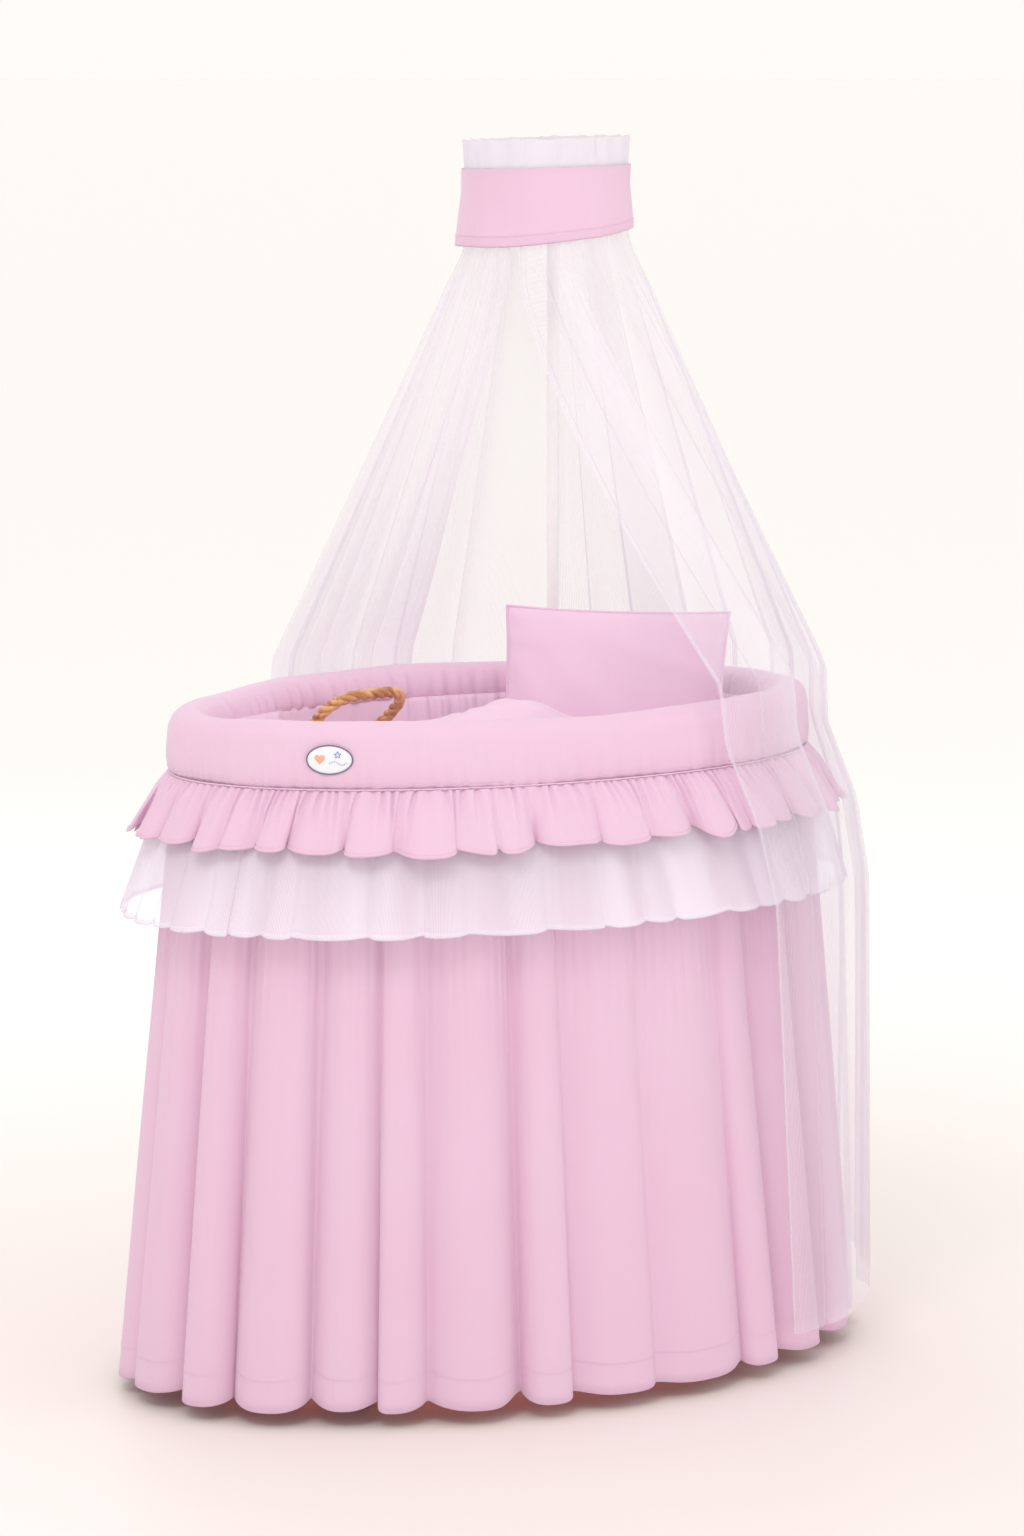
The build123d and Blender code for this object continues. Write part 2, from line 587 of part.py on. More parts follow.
def loop_slots(sign):
    """Cuts through the lining for the loops' stems."""
    plane = handle_plane(sign)
    half = HANDLE_SPAN / 2 + HANDLE_RADIUS + LOOP_WIDTH / 2
    slots = []
    for direction in (-1, 1):
        middle = direction * half
        slot = box(middle - LOOP_SLOT_HALF, 0, -LOOP_SLOT_HALF, middle + LOOP_SLOT_HALF,
                   sign * HANDLE_REACH, LOOP_SLOT_HALF)
        slots.append(plane.location * slot)
    return slots


def make_handles():
    loops = []
    for s, sign in sides.items():
        save(f"handle_{s}", handle(sign, HANDLE_LEANS[s]))
        loops += handle_loops(sign)
    save("handle_loops", group(loops))


# ---- covers and bedding ----------------------------------------------------
def pole_slit(z0, z1):
    """Opening for the pole in a cover on the far side."""
    half = SLIT_WIDTH / 2
    return box(pole_x - half, pole_y - 70, z0, pole_x + half, pole_y + 120, z1)


def make_lining():
    """Padded lining against the inside of the wicker wall."""
    low, high = bed_z + SOFT_GAP, basket_top - SOFT_GAP
    levels = [(z, *inside_half(z, SOFT_GAP)) for z in (low, high)]
    lining = oval_shell(levels, LINING_THICKNESS)
    for sign in sides.values():
        for slot in loop_slots(sign):
            lining -= slot
    save("lining_pad", lining)


def make_rim():
    """Padded roll over the border: outer band, top and inner lip."""
    a, b = rim_a, rim_b
    border_a, border_b = (half + BORDER_OVERHANG + SOFT_GAP for half in basket_half(basket_top))
    lip_z = rim_top - RIM_LIP
    hollow_top = basket_top + BORDER_HEIGHT + SOFT_GAP
    inner_a = border_a - BORDER_WIDTH - 2 * SOFT_GAP
    inner_b = border_b - BORDER_WIDTH - 2 * SOFT_GAP
    seam = (seam_z, a - RIM_SEAM_INSET, b - RIM_SEAM_INSET)
    roll = [(rim_top - down, a - inset, b - inset) for down, inset in RIM_ROLL_PROFILE]
    body = oval_body([seam, (seam_z + RIM_SEAM_RISE, a, b), *roll])
    lip = RIM_PADDING
    body -= oval_body([(seam_z - 1, inner_a - lip, inner_b - lip),
                       (rim_top - RIM_INNER_BEVEL, inner_a - lip, inner_b - lip),
                       (rim_top + 1, inner_a, inner_b)])
    body -= oval_body([(seam_z - 1, a - RIM_PADDING, b - RIM_PADDING),
                       (lip_z, a - RIM_PADDING, b - RIM_PADDING)])
    groove = oval_body([(lip_z - 1, border_a, border_b), (hollow_top, border_a, border_b)])
    groove -= oval_body([(lip_z - 2, inner_a, inner_b), (hollow_top + 1, inner_a, inner_b)])
    save("rim_cover", body - groove)


def ruffle(top_z, drop, flare, top_inset):
    a, b = rim_a - top_inset, rim_b - top_inset
    levels = [(top_z - drop, a + flare, b + flare), (top_z, a, b)]
    return oval_shell(levels, RUFFLE_THICKNESS) - pole_slit(top_z - drop - 5, top_z + 5)


def skirt_half(z):
    """Outside half sizes of the skirt at a height."""
    top_a = rim_a - 2 * (RUFFLE_THICKNESS + SOFT_GAP) - 2 * SOFT_GAP
    top_b = rim_b - 2 * (RUFFLE_THICKNESS + SOFT_GAP) - 2 * SOFT_GAP
    share = (seam_z - z) / (seam_z - SKIRT_HEM)
    hem_a, hem_b = rim_a + SKIRT_SPREAD_LENGTH, rim_b + SKIRT_SPREAD_WIDTH
    return top_a + (hem_a - top_a) * share, top_b + (hem_b - top_b) * share


def skirt_slit_bottom():
    """Height where the skirt's slope has carried it clear of the pole."""
    z = seam_z
    while z > SKIRT_HEM:
        a, b = (half - SKIRT_THICKNESS for half in skirt_half(z))
        inside = b * math.sqrt(1 - (pole_x / a) ** 2)
        if inside > pole_y + POLE_RADIUS + SLIT_CLEARANCE:
            break
        z -= 1
    return z


def make_covers():
    top = seam_z - SOFT_GAP
    save("cotton_ruffle", ruffle(top, COTTON_RUFFLE_DROP, COTTON_RUFFLE_FLARE, 0))
    inset = RUFFLE_THICKNESS + SOFT_GAP
    save("tulle_ruffle", ruffle(top, TULLE_RUFFLE_DROP, TULLE_RUFFLE_FLARE, inset))
    skirt = oval_shell([(SKIRT_HEM, *skirt_half(SKIRT_HEM)), (top, *skirt_half(top))],
                       SKIRT_THICKNESS)
    save("skirt", skirt - pole_slit(skirt_slit_bottom(), top + 5))


def badge():
    """Oval cloth badge on the rim band, at the near side towards the foot."""
    a, b = rim_a, rim_b
    z = (seam_z + rim_top) / 2 - 2
    outer = oval_body([(z - 60, a + BADGE_THICKNESS, b + BADGE_THICKNESS),
                       (z + 60, a + BADGE_THICKNESS, b + BADGE_THICKNESS)])
    outer -= oval_body([(z - 61, a + 0.1, b + 0.1), (z + 61, a + 0.1, b + 0.1)])
    angle = math.radians(BADGE_ANGLE)
    x, y = a * math.cos(angle), b * math.sin(angle)
    normal = (x / a ** 2, y / b ** 2, 0)
    frame = Plane(origin=(x, y, z), x_dir=(normal[1], -normal[0], 0), z_dir=normal)
    cutter = extrude(frame * Ellipse(BADGE_LENGTH / 2, BADGE_HEIGHT / 2), 20, both=True)
    return outer & cutter


def room_half():
    """Half length and half width between the linings, at the duvet's height."""
    return inside_half(bed_z + 2 * MATTRESS_HEIGHT, LINING_THICKNESS)


def pillow_frame():
    """Frame of the pillow: X along its width, Z up its height."""
    foot = [half * share for half, share in zip(room_half(), PILLOW_FOOT_SHARES)]
    lean = Rot(-PILLOW_LEAN, 0, 0)
    return Pos(*foot, bed_z + MATTRESS_HEIGHT + SOFT_GAP) * Rot(0, 0, PILLOW_TURN) * lean


def pillow():
    half = room_half()[1] * PILLOW_WIDTH_SHARE
    low, high = PILLOW_FOOT_RISE, PILLOW_FOOT_RISE + PILLOW_HEIGHT
    body = box(-half, -PILLOW_THICKNESS / 2, low, half, PILLOW_THICKNESS / 2, high)
    body = fillet(body.edges().filter_by(Axis.Y), PILLOW_CORNER)
    faces = body.edges().group_by(Axis.Y)
    body = fillet(faces[0] + faces[-1], PILLOW_EDGE)
    return pillow_frame() * body


def make_bedding():
    low, high = bed_z + SOFT_GAP, bed_z + MATTRESS_HEIGHT
    away = LINING_THICKNESS + 3 * SOFT_GAP
    low_half, high_half = inside_half(low, away), inside_half(low + MATTRESS_EDGE, away)
    edge = MATTRESS_EDGE / 2
    mattress = oval_body([(low, low_half[0] - edge, low_half[1] - edge),
                          (low + MATTRESS_EDGE, *low_half), (high - MATTRESS_EDGE, *high_half),
                          (high, high_half[0] - edge, high_half[1] - edge)])
    save("mattress", mattress)
    save("pillow", pillow())
    room_a, room_b = room_half()
    a, b = room_a - DUVET_END_GAP, room_b - DUVET_SIDE_GAP
    base = high + SOFT_GAP
    duvet = oval_body([(base + up, a + out_a, b + out_b) for up, out_a, out_b in DUVET_PROFILE])
    duvet = Pos(DUVET_SHIFT, 0, 0) * duvet
    reach = BASKET_TOP_LENGTH / 2
    behind = pillow_frame() * box(-reach, -PILLOW_THICKNESS / 2 - 3 * SOFT_GAP, -reach, reach, reach, reach)
    save("duvet", duvet - behind)


# ---- canopy ----------------------------------------------------------------
pole_to_ring = RING_RADIUS - RING_WIRE
ring_x = pole_x - pole_to_ring * math.cos(math.radians(RING_TURN))
ring_y = pole_y - pole_to_ring * math.sin(math.radians(RING_TURN))


def tube(x, y, z0, z1, radius, wall):
    outer = rod((x, y, z0), (x, y, z1), radius)
    return outer - rod((x, y, z0 - 1), (x, y, z1 + 1), radius - wall)


def bracket(z):
    """Clamp block between a side rail and the pole."""
    half = BRACKET_WIDTH / 2
    rail_face = leg_y + RAIL_THICKNESS / 2
    block = box(pole_x - half, rail_face, z, pole_x + half, pole_y + BRACKET_MARGIN, z + BRACKET_HEIGHT)
    outer_edges = block.edges().filter_by(Axis.Z).group_by(Axis.Y)[-1]
    block = fillet(outer_edges, BRACKET_MARGIN - 3)
    return block - rod((pole_x, pole_y, z - 1), (pole_x, pole_y, z + BRACKET_HEIGHT + 1),
                       POLE_RADIUS + RUN_GAP)


def make_pole():
    foot_z = lower_bracket_z - POLE_FOOT_DROP
    upper_foot = pole_joint_z - POLE_OVERLAP
    lower = tube(pole_x, pole_y, foot_z, pole_joint_z, POLE_RADIUS, POLE_WALL)
    lower += rod((pole_x, pole_y, foot_z), (pole_x, pole_y, foot_z + POLE_CAP), POLE_RADIUS)
    save("canopy_pole_lower", lower)
    plug_radius = POLE_RADIUS - POLE_WALL - FIT_GAP
    top_z = ring_z - 2 * RING_WIRE
    upper = tube(pole_x, pole_y, pole_joint_z, top_z, UPPER_POLE_RADIUS, POLE_WALL)
    plug = tube(pole_x, pole_y, upper_foot, pole_joint_z, plug_radius, POLE_WALL + 0.5)
    save("canopy_pole_upper", upper + plug)
    stub_radius = UPPER_POLE_RADIUS - POLE_WALL - FIT_GAP
    ring = Pos(ring_x, ring_y, ring_z) * Torus(RING_RADIUS, RING_WIRE)
    ring += rod((pole_x, pole_y, top_z - 40), (pole_x, pole_y, ring_z + RING_WIRE), stub_radius)
    save("canopy_ring", ring)
    z = lower_bracket_z + BRACKET_HEIGHT / 2
    half = BRACKET_WIDTH / 2
    thread_end = pole_x - POLE_RADIUS - 4 * RUN_GAP
    hole = rod((pole_x - half - 1, pole_y, z), (pole_x, pole_y, z), KNOB_THREAD_RADIUS + RUN_GAP)
    save("pole_bracket_lower", bracket(lower_bracket_z) - hole)
    save("pole_bracket_upper", bracket(upper_bracket_z))
    knob_face = pole_x - half - KNOB_GAP
    knob = rod((thread_end, pole_y, z), (knob_face, pole_y, z), KNOB_THREAD_RADIUS)
    grip = rod((knob_face, pole_y, z), (knob_face - KNOB_THICKNESS, pole_y, z), KNOB_RADIUS)
    for i in range(KNOB_SCALLOPS):
        turn = math.tau * i / KNOB_SCALLOPS
        gy = pole_y + (KNOB_RADIUS + 2) * math.cos(turn)
        gz = z + (KNOB_RADIUS + 2) * math.sin(turn)
        grip -= rod((knob_face + 1, gy, gz), (knob_face - KNOB_THICKNESS - 1, gy, gz),
                    KNOB_SCALLOP_RADIUS)
    save("clamp_knob", knob + grip)


def hoop(z0, z1, inner, wall):
    """A round band of cloth centred on the ring."""
    return tube(ring_x, ring_y, z0, z1, inner + wall, wall)


ring_hug = RING_RADIUS + RING_WIRE + SOFT_GAP


def drape_levels():
    """(height, ring share, half length, half width, start, end, bulge) going down.

    ring share is 1 where the cloth hangs on the ring and 0 where it is spread
    over the crib; start and end are the two free edges, in degrees.
    """
    band_a, band_b = rim_a + SWAY_GAP + 1, rim_b + SWAY_GAP + 1
    cotton_a = rim_a + COTTON_RUFFLE_FLARE + SWAY_GAP
    cotton_b = rim_b + COTTON_RUFFLE_FLARE + SWAY_GAP
    tulle_a = rim_a + TULLE_RUFFLE_FLARE + SWAY_GAP
    tulle_b = rim_b + TULLE_RUFFLE_FLARE + SWAY_GAP
    cotton_z = seam_z - COTTON_RUFFLE_DROP
    tulle_z = seam_z - TULLE_RUFFLE_DROP
    hem_a, hem_b = rim_a + DRAPE_SPREAD_LENGTH, rim_b + DRAPE_SPREAD_WIDTH
    return [
        (sash_top - DRAPE_THICKNESS, 1.0, band_a, band_b, *DRAPE_RING_EDGES, 0),
        (sash_bottom, 1.0, band_a, band_b, *DRAPE_RING_EDGES, 0),
        (rim_top + DRAPE_OVER_RIM, 0.0, band_a, band_b, *DRAPE_RIM_EDGES, 1),
        (seam_z + DRAPE_OVER_SEAM, 0.0, band_a + 2, band_b + 2, *DRAPE_BAND_EDGES, 1),
        (cotton_z, 0.0, cotton_a, cotton_b, *DRAPE_COTTON_EDGES, 0),
        (tulle_z, 0.0, tulle_a, tulle_b, *DRAPE_TULLE_EDGES, 0),
        (DRAPE_HEM, 0.0, hem_a, hem_b, *DRAPE_HEM_EDGES, 0),
    ]


def drape_section(level):
    """One level of the drape as a thin closed ribbon seen from above."""
    z, on_ring, a, b, start, end, bulge = level
    pole_angle = RING_TURN if on_ring else math.degrees(math.atan2(pole_y / b, pole_x / a))
    before = [start + (pole_angle - start) * i / DRAPE_FOLDS_BEFORE for i in range(DRAPE_FOLDS_BEFORE)]
    after = [pole_angle + (end - pole_angle) * i / DRAPE_FOLDS_AFTER
             for i in range(DRAPE_FOLDS_AFTER + 1)]
    outer, inner = [], []
    for angle in before + after:
        t = math.radians(angle)
        if on_ring:
            radius = ring_hug + DRAPE_THICKNESS
            point = (ring_x + radius * math.cos(t), ring_y + radius * math.sin(t))
            normal = (math.cos(t), math.sin(t))
        else:
            point = (a * math.cos(t), b * math.sin(t))
            normal = (math.cos(t) / a, math.sin(t) / b)
            length = math.hypot(*normal)
            normal = (normal[0] / length, normal[1] / length)
            around = math.exp(-((angle - pole_angle) / DRAPE_BULGE_WIDTH) ** 2)
            out = bulge * DRAPE_BULGE * around
            point = (point[0] + normal[0] * out, point[1] + normal[1] * out)
        outer.append((*point, z))
        thin = DRAPE_THICKNESS
        inner.append((point[0] - normal[0] * thin, point[1] - normal[1] * thin, z))
    return make_face(Polyline(*outer, *reversed(inner), close=True))


def make_canopy_cloth():
    sections = [drape_section(level) for level in drape_levels()]
    drape = loft(list(reversed(sections)), ruled=True)
    save("canopy_drape", drape)
    sash_inner = ring_hug + DRAPE_THICKNESS + 0.5
    save("sash_band", hoop(sash_bottom, sash_top, sash_inner, SASH_THICKNESS))
    save("header_ruffle", hoop(sash_top - 1.5, header_top, ring_hug - 1, 3.0))


def main():
    os.makedirs("parts", exist_ok=True)
    make_stand()
    make_castors()
    make_basket()
    make_handles()
    make_lining()
    make_rim()
    make_covers()
    save("badge", badge())
    make_bedding()
    make_pole()
    make_canopy_cloth()


main()
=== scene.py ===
import json
import math

import bmesh
import bpy
import numpy as np
from bpy.props import FloatProperty, FloatVectorProperty, IntProperty, PointerProperty
from bpy.types import Operator, Panel, PropertyGroup
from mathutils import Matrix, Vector


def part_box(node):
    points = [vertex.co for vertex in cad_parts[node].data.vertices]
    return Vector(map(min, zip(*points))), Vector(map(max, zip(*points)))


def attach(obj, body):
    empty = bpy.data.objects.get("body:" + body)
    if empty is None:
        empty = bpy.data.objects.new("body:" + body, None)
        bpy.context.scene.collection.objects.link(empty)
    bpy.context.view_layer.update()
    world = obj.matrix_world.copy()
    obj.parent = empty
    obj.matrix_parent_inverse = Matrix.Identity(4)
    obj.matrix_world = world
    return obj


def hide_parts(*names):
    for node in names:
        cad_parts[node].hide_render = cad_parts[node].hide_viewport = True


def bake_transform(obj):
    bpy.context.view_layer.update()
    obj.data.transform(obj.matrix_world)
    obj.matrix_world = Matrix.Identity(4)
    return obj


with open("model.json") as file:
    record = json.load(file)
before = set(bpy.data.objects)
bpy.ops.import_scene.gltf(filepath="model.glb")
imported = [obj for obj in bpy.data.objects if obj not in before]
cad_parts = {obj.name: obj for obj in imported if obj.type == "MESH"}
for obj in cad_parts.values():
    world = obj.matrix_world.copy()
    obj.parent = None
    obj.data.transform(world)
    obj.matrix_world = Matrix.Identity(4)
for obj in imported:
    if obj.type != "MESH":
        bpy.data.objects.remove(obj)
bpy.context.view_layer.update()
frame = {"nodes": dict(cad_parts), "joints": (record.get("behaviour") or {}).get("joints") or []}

bl_info = {
    "name": "Dressed wicker crib",
    "version": (1, 0, 0),
    "blender": (4, 5, 0),
    "location": "View3D > Sidebar > Crib",
    "description": "Cloth, cane, bedding and finishes for an oval crib with a canopy",
    "category": "Object",
}

# Metres. +X is the head end, +Y the far long side, the floor is at zero.
TAU = math.tau
VIEW_RIGHT, VIEW_FAR = (0.883, -0.469), (0.469, 0.883)     # the viewer's right and ahead
NODES = frame["nodes"]
JOINTS = {joint["name"]: joint for joint in frame["joints"]}


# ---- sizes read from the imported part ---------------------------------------
def span(node):
    """Lowest and highest corner of a node as arrays."""
    low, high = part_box(node)
    return np.array(low), np.array(high)


rim_low, rim_high = span("rim_cover")
RIM_A, RIM_B = rim_high[0], rim_high[1]
SEAM_Z, RIM_TOP = rim_low[2], rim_high[2]
wall_low, wall_high = span("wicker_wall")
WALL_A, WALL_B = wall_high[0], wall_high[1]
WALL_LOW, WALL_TOP = wall_low[2], wall_high[2]
floor_low, floor_high = span("wicker_floor")
FLOOR_A, FLOOR_B = floor_high[0], floor_high[1]
lining_low, lining_high = span("lining_pad")
mattress_low, mattress_high = span("mattress")
BED_TOP = mattress_high[2]
ring_low, ring_high = span("sash_band")
RING_X, RING_Y = (ring_low[:2] + ring_high[:2]) / 2
SASH_LOW, SASH_TOP = ring_low[2], ring_high[2]
SASH_RADIUS = (ring_high[0] - ring_low[0]) / 2
HEADER_TOP = span("header_ruffle")[1][2]
DRAPE_HEM = span("canopy_drape")[0][2]
pole_low, pole_high = span("canopy_pole_lower")
POLE = (pole_low[:2] + pole_high[:2]) / 2
skirt_low, skirt_high = span("skirt")
BASKET_WALL = 0.008
LINING_THICK = 0.020
WALL_TAPER_A, WALL_TAPER_B = 0.063, 0.053    # the wall comes in by this much at its foot
THREAD = 0.00035                             # radius of sewing thread


# ---- small shape helpers ---------------------------------------------------
def oval(a, b, t):
    """Points of an oval and its outward direction."""
    point = np.stack([a * np.cos(t), b * np.sin(t)], -1)
    out = np.stack([np.cos(t) / a, np.sin(t) / b], -1)
    return point, out / np.linalg.norm(out, axis=-1, keepdims=True)


def even_angles(a, b, count, start=0.0, turn=TAU):
    """Angles that are evenly spaced along an oval."""
    t = start + np.linspace(0, turn, 2881)
    point, _ = oval(a, b, t)
    steps = np.linalg.norm(np.diff(point, axis=0), axis=1)
    run = np.concatenate([[0], np.cumsum(steps)])
    return np.interp(np.linspace(0, run[-1], count), run, t)


def smooth(x):
    """Soft step from 0 to 1."""
    x = np.clip(x, 0, 1)
    return x * x * (3 - 2 * x)


def ripple(rng, t, counts):
    """Seeded wandering line round the crib, about -1 to 1."""
    total = np.zeros_like(t)
    for count in counts:
        total += rng.uniform(0.5, 1) * np.sin(count * t + rng.uniform(0, TAU))
    return total / max(1, len(counts)) ** 0.5


def bump_at(t, degrees, spread):
    """Soft hump of height 1 round a given angle."""
    painted_shade_away = np.angle(np.exp(1j * (t - math.radians(degrees))))
    return np.exp(-(painted_shade_away / math.radians(spread)) ** 2)


class Folds:
    """Irregular folds: 1 on a ridge, 0 in a valley, and the place between ridges."""

    def __init__(self, rng, ridges, low=(0.0, 0.35), high=(0.7, 1.0), fullness=1.3):
        self.fullness = fullness
        ridges = np.sort(np.asarray(ridges, float))
        places, values, phases = [], [], []
        for i, ridge in enumerate(ridges):
            places.append(ridge)
            values.append(rng.uniform(*high))
            phases.append(float(i))
            if i < len(ridges) - 1:
                gap = ridges[i + 1] - ridge
                places.append(ridge + gap * rng.uniform(0.30, 0.70))
                values.append(rng.uniform(*low))
                phases.append(i + 0.5)
        self.places, self.values, self.phases = map(np.array, (places, values, phases))

    def widths(self, x):
        """Width of the fold at each place."""
        ridges = self.places[::2]
        middles = (ridges[1:] + ridges[:-1]) / 2
        return np.interp(x, middles, np.diff(ridges))

    def at(self, x):
        """Height of the cloth at each place, and how far it is through its fold."""
        i = np.clip(np.searchsorted(self.places, x) - 1, 0, len(self.places) - 2)
        share = (x - self.places[i]) / (self.places[i + 1] - self.places[i])
        share = np.clip(share, 0, 1)
        rising = i % 2 == 1
        from_ridge = np.where(rising, 1 - share, share)
        shape = 0.5 + 0.5 * np.cos(math.pi * from_ridge ** self.fullness)
        ridge = np.where(rising, self.values[i + 1], self.values[i])
        valley = np.where(rising, self.values[i], self.values[i + 1])
        height = valley + (ridge - valley) * shape
        phase = self.phases[i] + share * (self.phases[i + 1] - self.phases[i])
        return height, phase


def spread_ridges(rng, low, high, spacing, jitter=0.35):
    """Ridge places between two ends, unevenly spaced."""
    steps = []
    total = 0.0
    while total < high - low:
        step = spacing * rng.uniform(1 - jitter, 1 + jitter)
        steps.append(step)
        total += step
    ends = np.concatenate([[0], np.cumsum(steps)])
    return low + ends / ends[-1] * (high - low)


# ---- mesh helpers ----------------------------------------------------------
def link(obj):
    """Puts an object in the scene."""
    bpy.context.scene.collection.objects.link(obj)
    return obj


def grid_object(name, points, uv, material, wrap=False, wrap_rows=False, cap=False):
    """A quad surface from rows of points; rows run down and columns run anticlockwise."""
    rows, cols = points.shape[:2]
    index = np.arange(rows * cols).reshape(rows, cols)
    a = index
    b = np.roll(index, -1, axis=1)
    row_next = np.roll(index, -1, axis=0)
    c = np.roll(row_next, -1, axis=1)
    quads = np.stack([a, row_next, c, b], -1)
    last_col = cols if wrap else cols - 1
    last_row = rows if wrap_rows else rows - 1
    quads = quads[:last_row, :last_col].reshape(-1, 4)
    mesh = bpy.data.meshes.new(name)
    mesh.vertices.add(rows * cols)
    mesh.vertices.foreach_set("co", points.reshape(-1).astype(np.float32))
    mesh.loops.add(len(quads) * 4)
    mesh.loops.foreach_set("vertex_index", quads.reshape(-1).astype(np.int32))
    mesh.polygons.add(len(quads))
    mesh.polygons.foreach_set("loop_start", (np.arange(len(quads)) * 4).astype(np.int32))
    mesh.update(calc_edges=True)
    layer = mesh.uv_layers.new(name="cloth")
    r, cc = np.meshgrid(np.arange(last_row), np.arange(last_col), indexing="ij")
    corner_rows = np.stack([r, r + 1, r + 1, r], -1)
    corner_cols = np.stack([cc, cc, cc + 1, cc + 1], -1)
    u_of = np.concatenate([uv[0], [2 * uv[0][-1] - uv[0][-2]]])
    v_of = np.concatenate([uv[1], [2 * uv[1][-1] - uv[1][-2]]])
    loops = np.stack([u_of[corner_cols], v_of[corner_rows]], -1)
    layer.data.foreach_set("uv", loops.reshape(-1).astype(np.float32))
    mesh.validate()
    mesh.materials.append(material)
    obj = link(bpy.data.objects.new(name, mesh))
    if cap:
        close_ends(obj)
    mesh.shade_smooth()
    return obj


def close_ends(obj):
    """Fills open borders and turns the faces outwards."""
    shape = bmesh.new()
    shape.from_mesh(obj.data)
    border = [e for e in shape.edges if len(e.link_faces) == 1]
    if border:
        bmesh.ops.holes_fill(shape, edges=border, sides=0)
    bmesh.ops.recalc_face_normals(shape, faces=shape.faces)
    shape.to_mesh(obj.data)
    shape.free()


def sew_together(face, other, name, gap):
    """Joins two sheets along their edges into one closed pad, kept in the first."""
    joined = bmesh.new()
    joined.from_mesh(face.data)
    joined.from_mesh(other.data)
    bmesh.ops.remove_doubles(joined, verts=joined.verts, dist=gap)
    bmesh.ops.recalc_face_normals(joined, faces=joined.faces)
    joined.to_mesh(face.data)
    joined.free()
    bpy.data.objects.remove(other)
    face.name = face.data.name = name
    face.data.shade_smooth()


def lengths(points):
    """Mean length of the rows and of the columns of a grid of points."""
    across = np.linalg.norm(np.diff(points, axis=1), axis=2).sum(1).mean()
    down = np.linalg.norm(np.diff(points, axis=0), axis=2).sum(0).mean()
    return float(across), float(down)


def cloth(name, points, material, wrap=False):
    """A single sheet with a UV map in metres along the cloth."""
    width, height = lengths(points)
    rows, cols = points.shape[:2]
    uv = (np.linspace(0, width, cols), np.linspace(0, height, rows))
    obj = grid_object(name, points, uv, material, wrap=wrap)
    obj["cut"] = (round(width, 3), round(height, 3))
    return obj


def lines_object(name, lines, closed=False):
    """Edges through lists of points, for the cane and stitch trees."""
    verts, edges = [], []
    for line in lines:
        first = len(verts)
        verts.extend(tuple(map(float, p)) for p in line)
        edges.extend((first + i, first + i + 1) for i in range(len(line) - 1))
        if closed:
            edges.append((len(verts) - 1, first))
    mesh = bpy.data.meshes.new(name)
    mesh.from_pydata(verts, edges, [])
    return link(bpy.data.objects.new(name, mesh))


# ---- Geometry Nodes: strands along lines, stitches along lines -------------
def wiring(tree):
    """A call that joins an output of one node to an input of another."""
    def wire(source, output, target, socket):
        tree.links.new(source.outputs[output], target.inputs[socket])
    return tree.nodes.new, wire


def new_tree(name, sockets):
    """An empty Geometry Nodes tree from lines to geometry, with the given settings."""
    tree = bpy.data.node_groups.new(name, "GeometryNodeTree")
    face = tree.interface
    face.new_socket("Lines", in_out="INPUT", socket_type="NodeSocketGeometry")
    ids = {}
    for label, kind, value in sockets:
        socket = face.new_socket(label, in_out="INPUT", socket_type=kind)
        if value is not None:
            socket.default_value = value
        ids[label] = socket.identifier
    face.new_socket("Geometry", in_out="OUTPUT", socket_type="NodeSocketGeometry")
    start = tree.nodes.new("NodeGroupInput")
    end = tree.nodes.new("NodeGroupOutput")
    return tree, start, end, ids


def strand_tree():
    """Round canes, threads or wires along the given lines."""
    tree, start, end, ids = new_tree("Strands", [
        ("Radius", "NodeSocketFloat", 0.003),
        ("Sides", "NodeSocketInt", 6),
        ("Finish", "NodeSocketMaterial", None),
    ])
    node, wire = wiring(tree)
    to_curve = node("GeometryNodeMeshToCurve")
    circle = node("GeometryNodeCurvePrimitiveCircle")
    to_mesh = node("GeometryNodeCurveToMesh")
    shade = node("GeometryNodeSetShadeSmooth")
    real = node("GeometryNodeRealizeInstances")
    finish = node("GeometryNodeSetMaterial")
    to_mesh.inputs["Fill Caps"].default_value = True
    wire(start, "Lines", to_curve, "Mesh")
    wire(start, "Radius", circle, "Radius")
    wire(start, "Sides", circle, "Resolution")
    wire(to_curve, "Curve", to_mesh, "Curve")
    wire(circle, "Curve", to_mesh, "Profile Curve")
    wire(to_mesh, "Mesh", shade, "Geometry")
    wire(shade, "Geometry", real, "Geometry")
    wire(real, "Geometry", finish, "Geometry")
    wire(start, "Finish", finish, "Material")
    wire(finish, "Geometry", end, "Geometry")
    return tree, ids


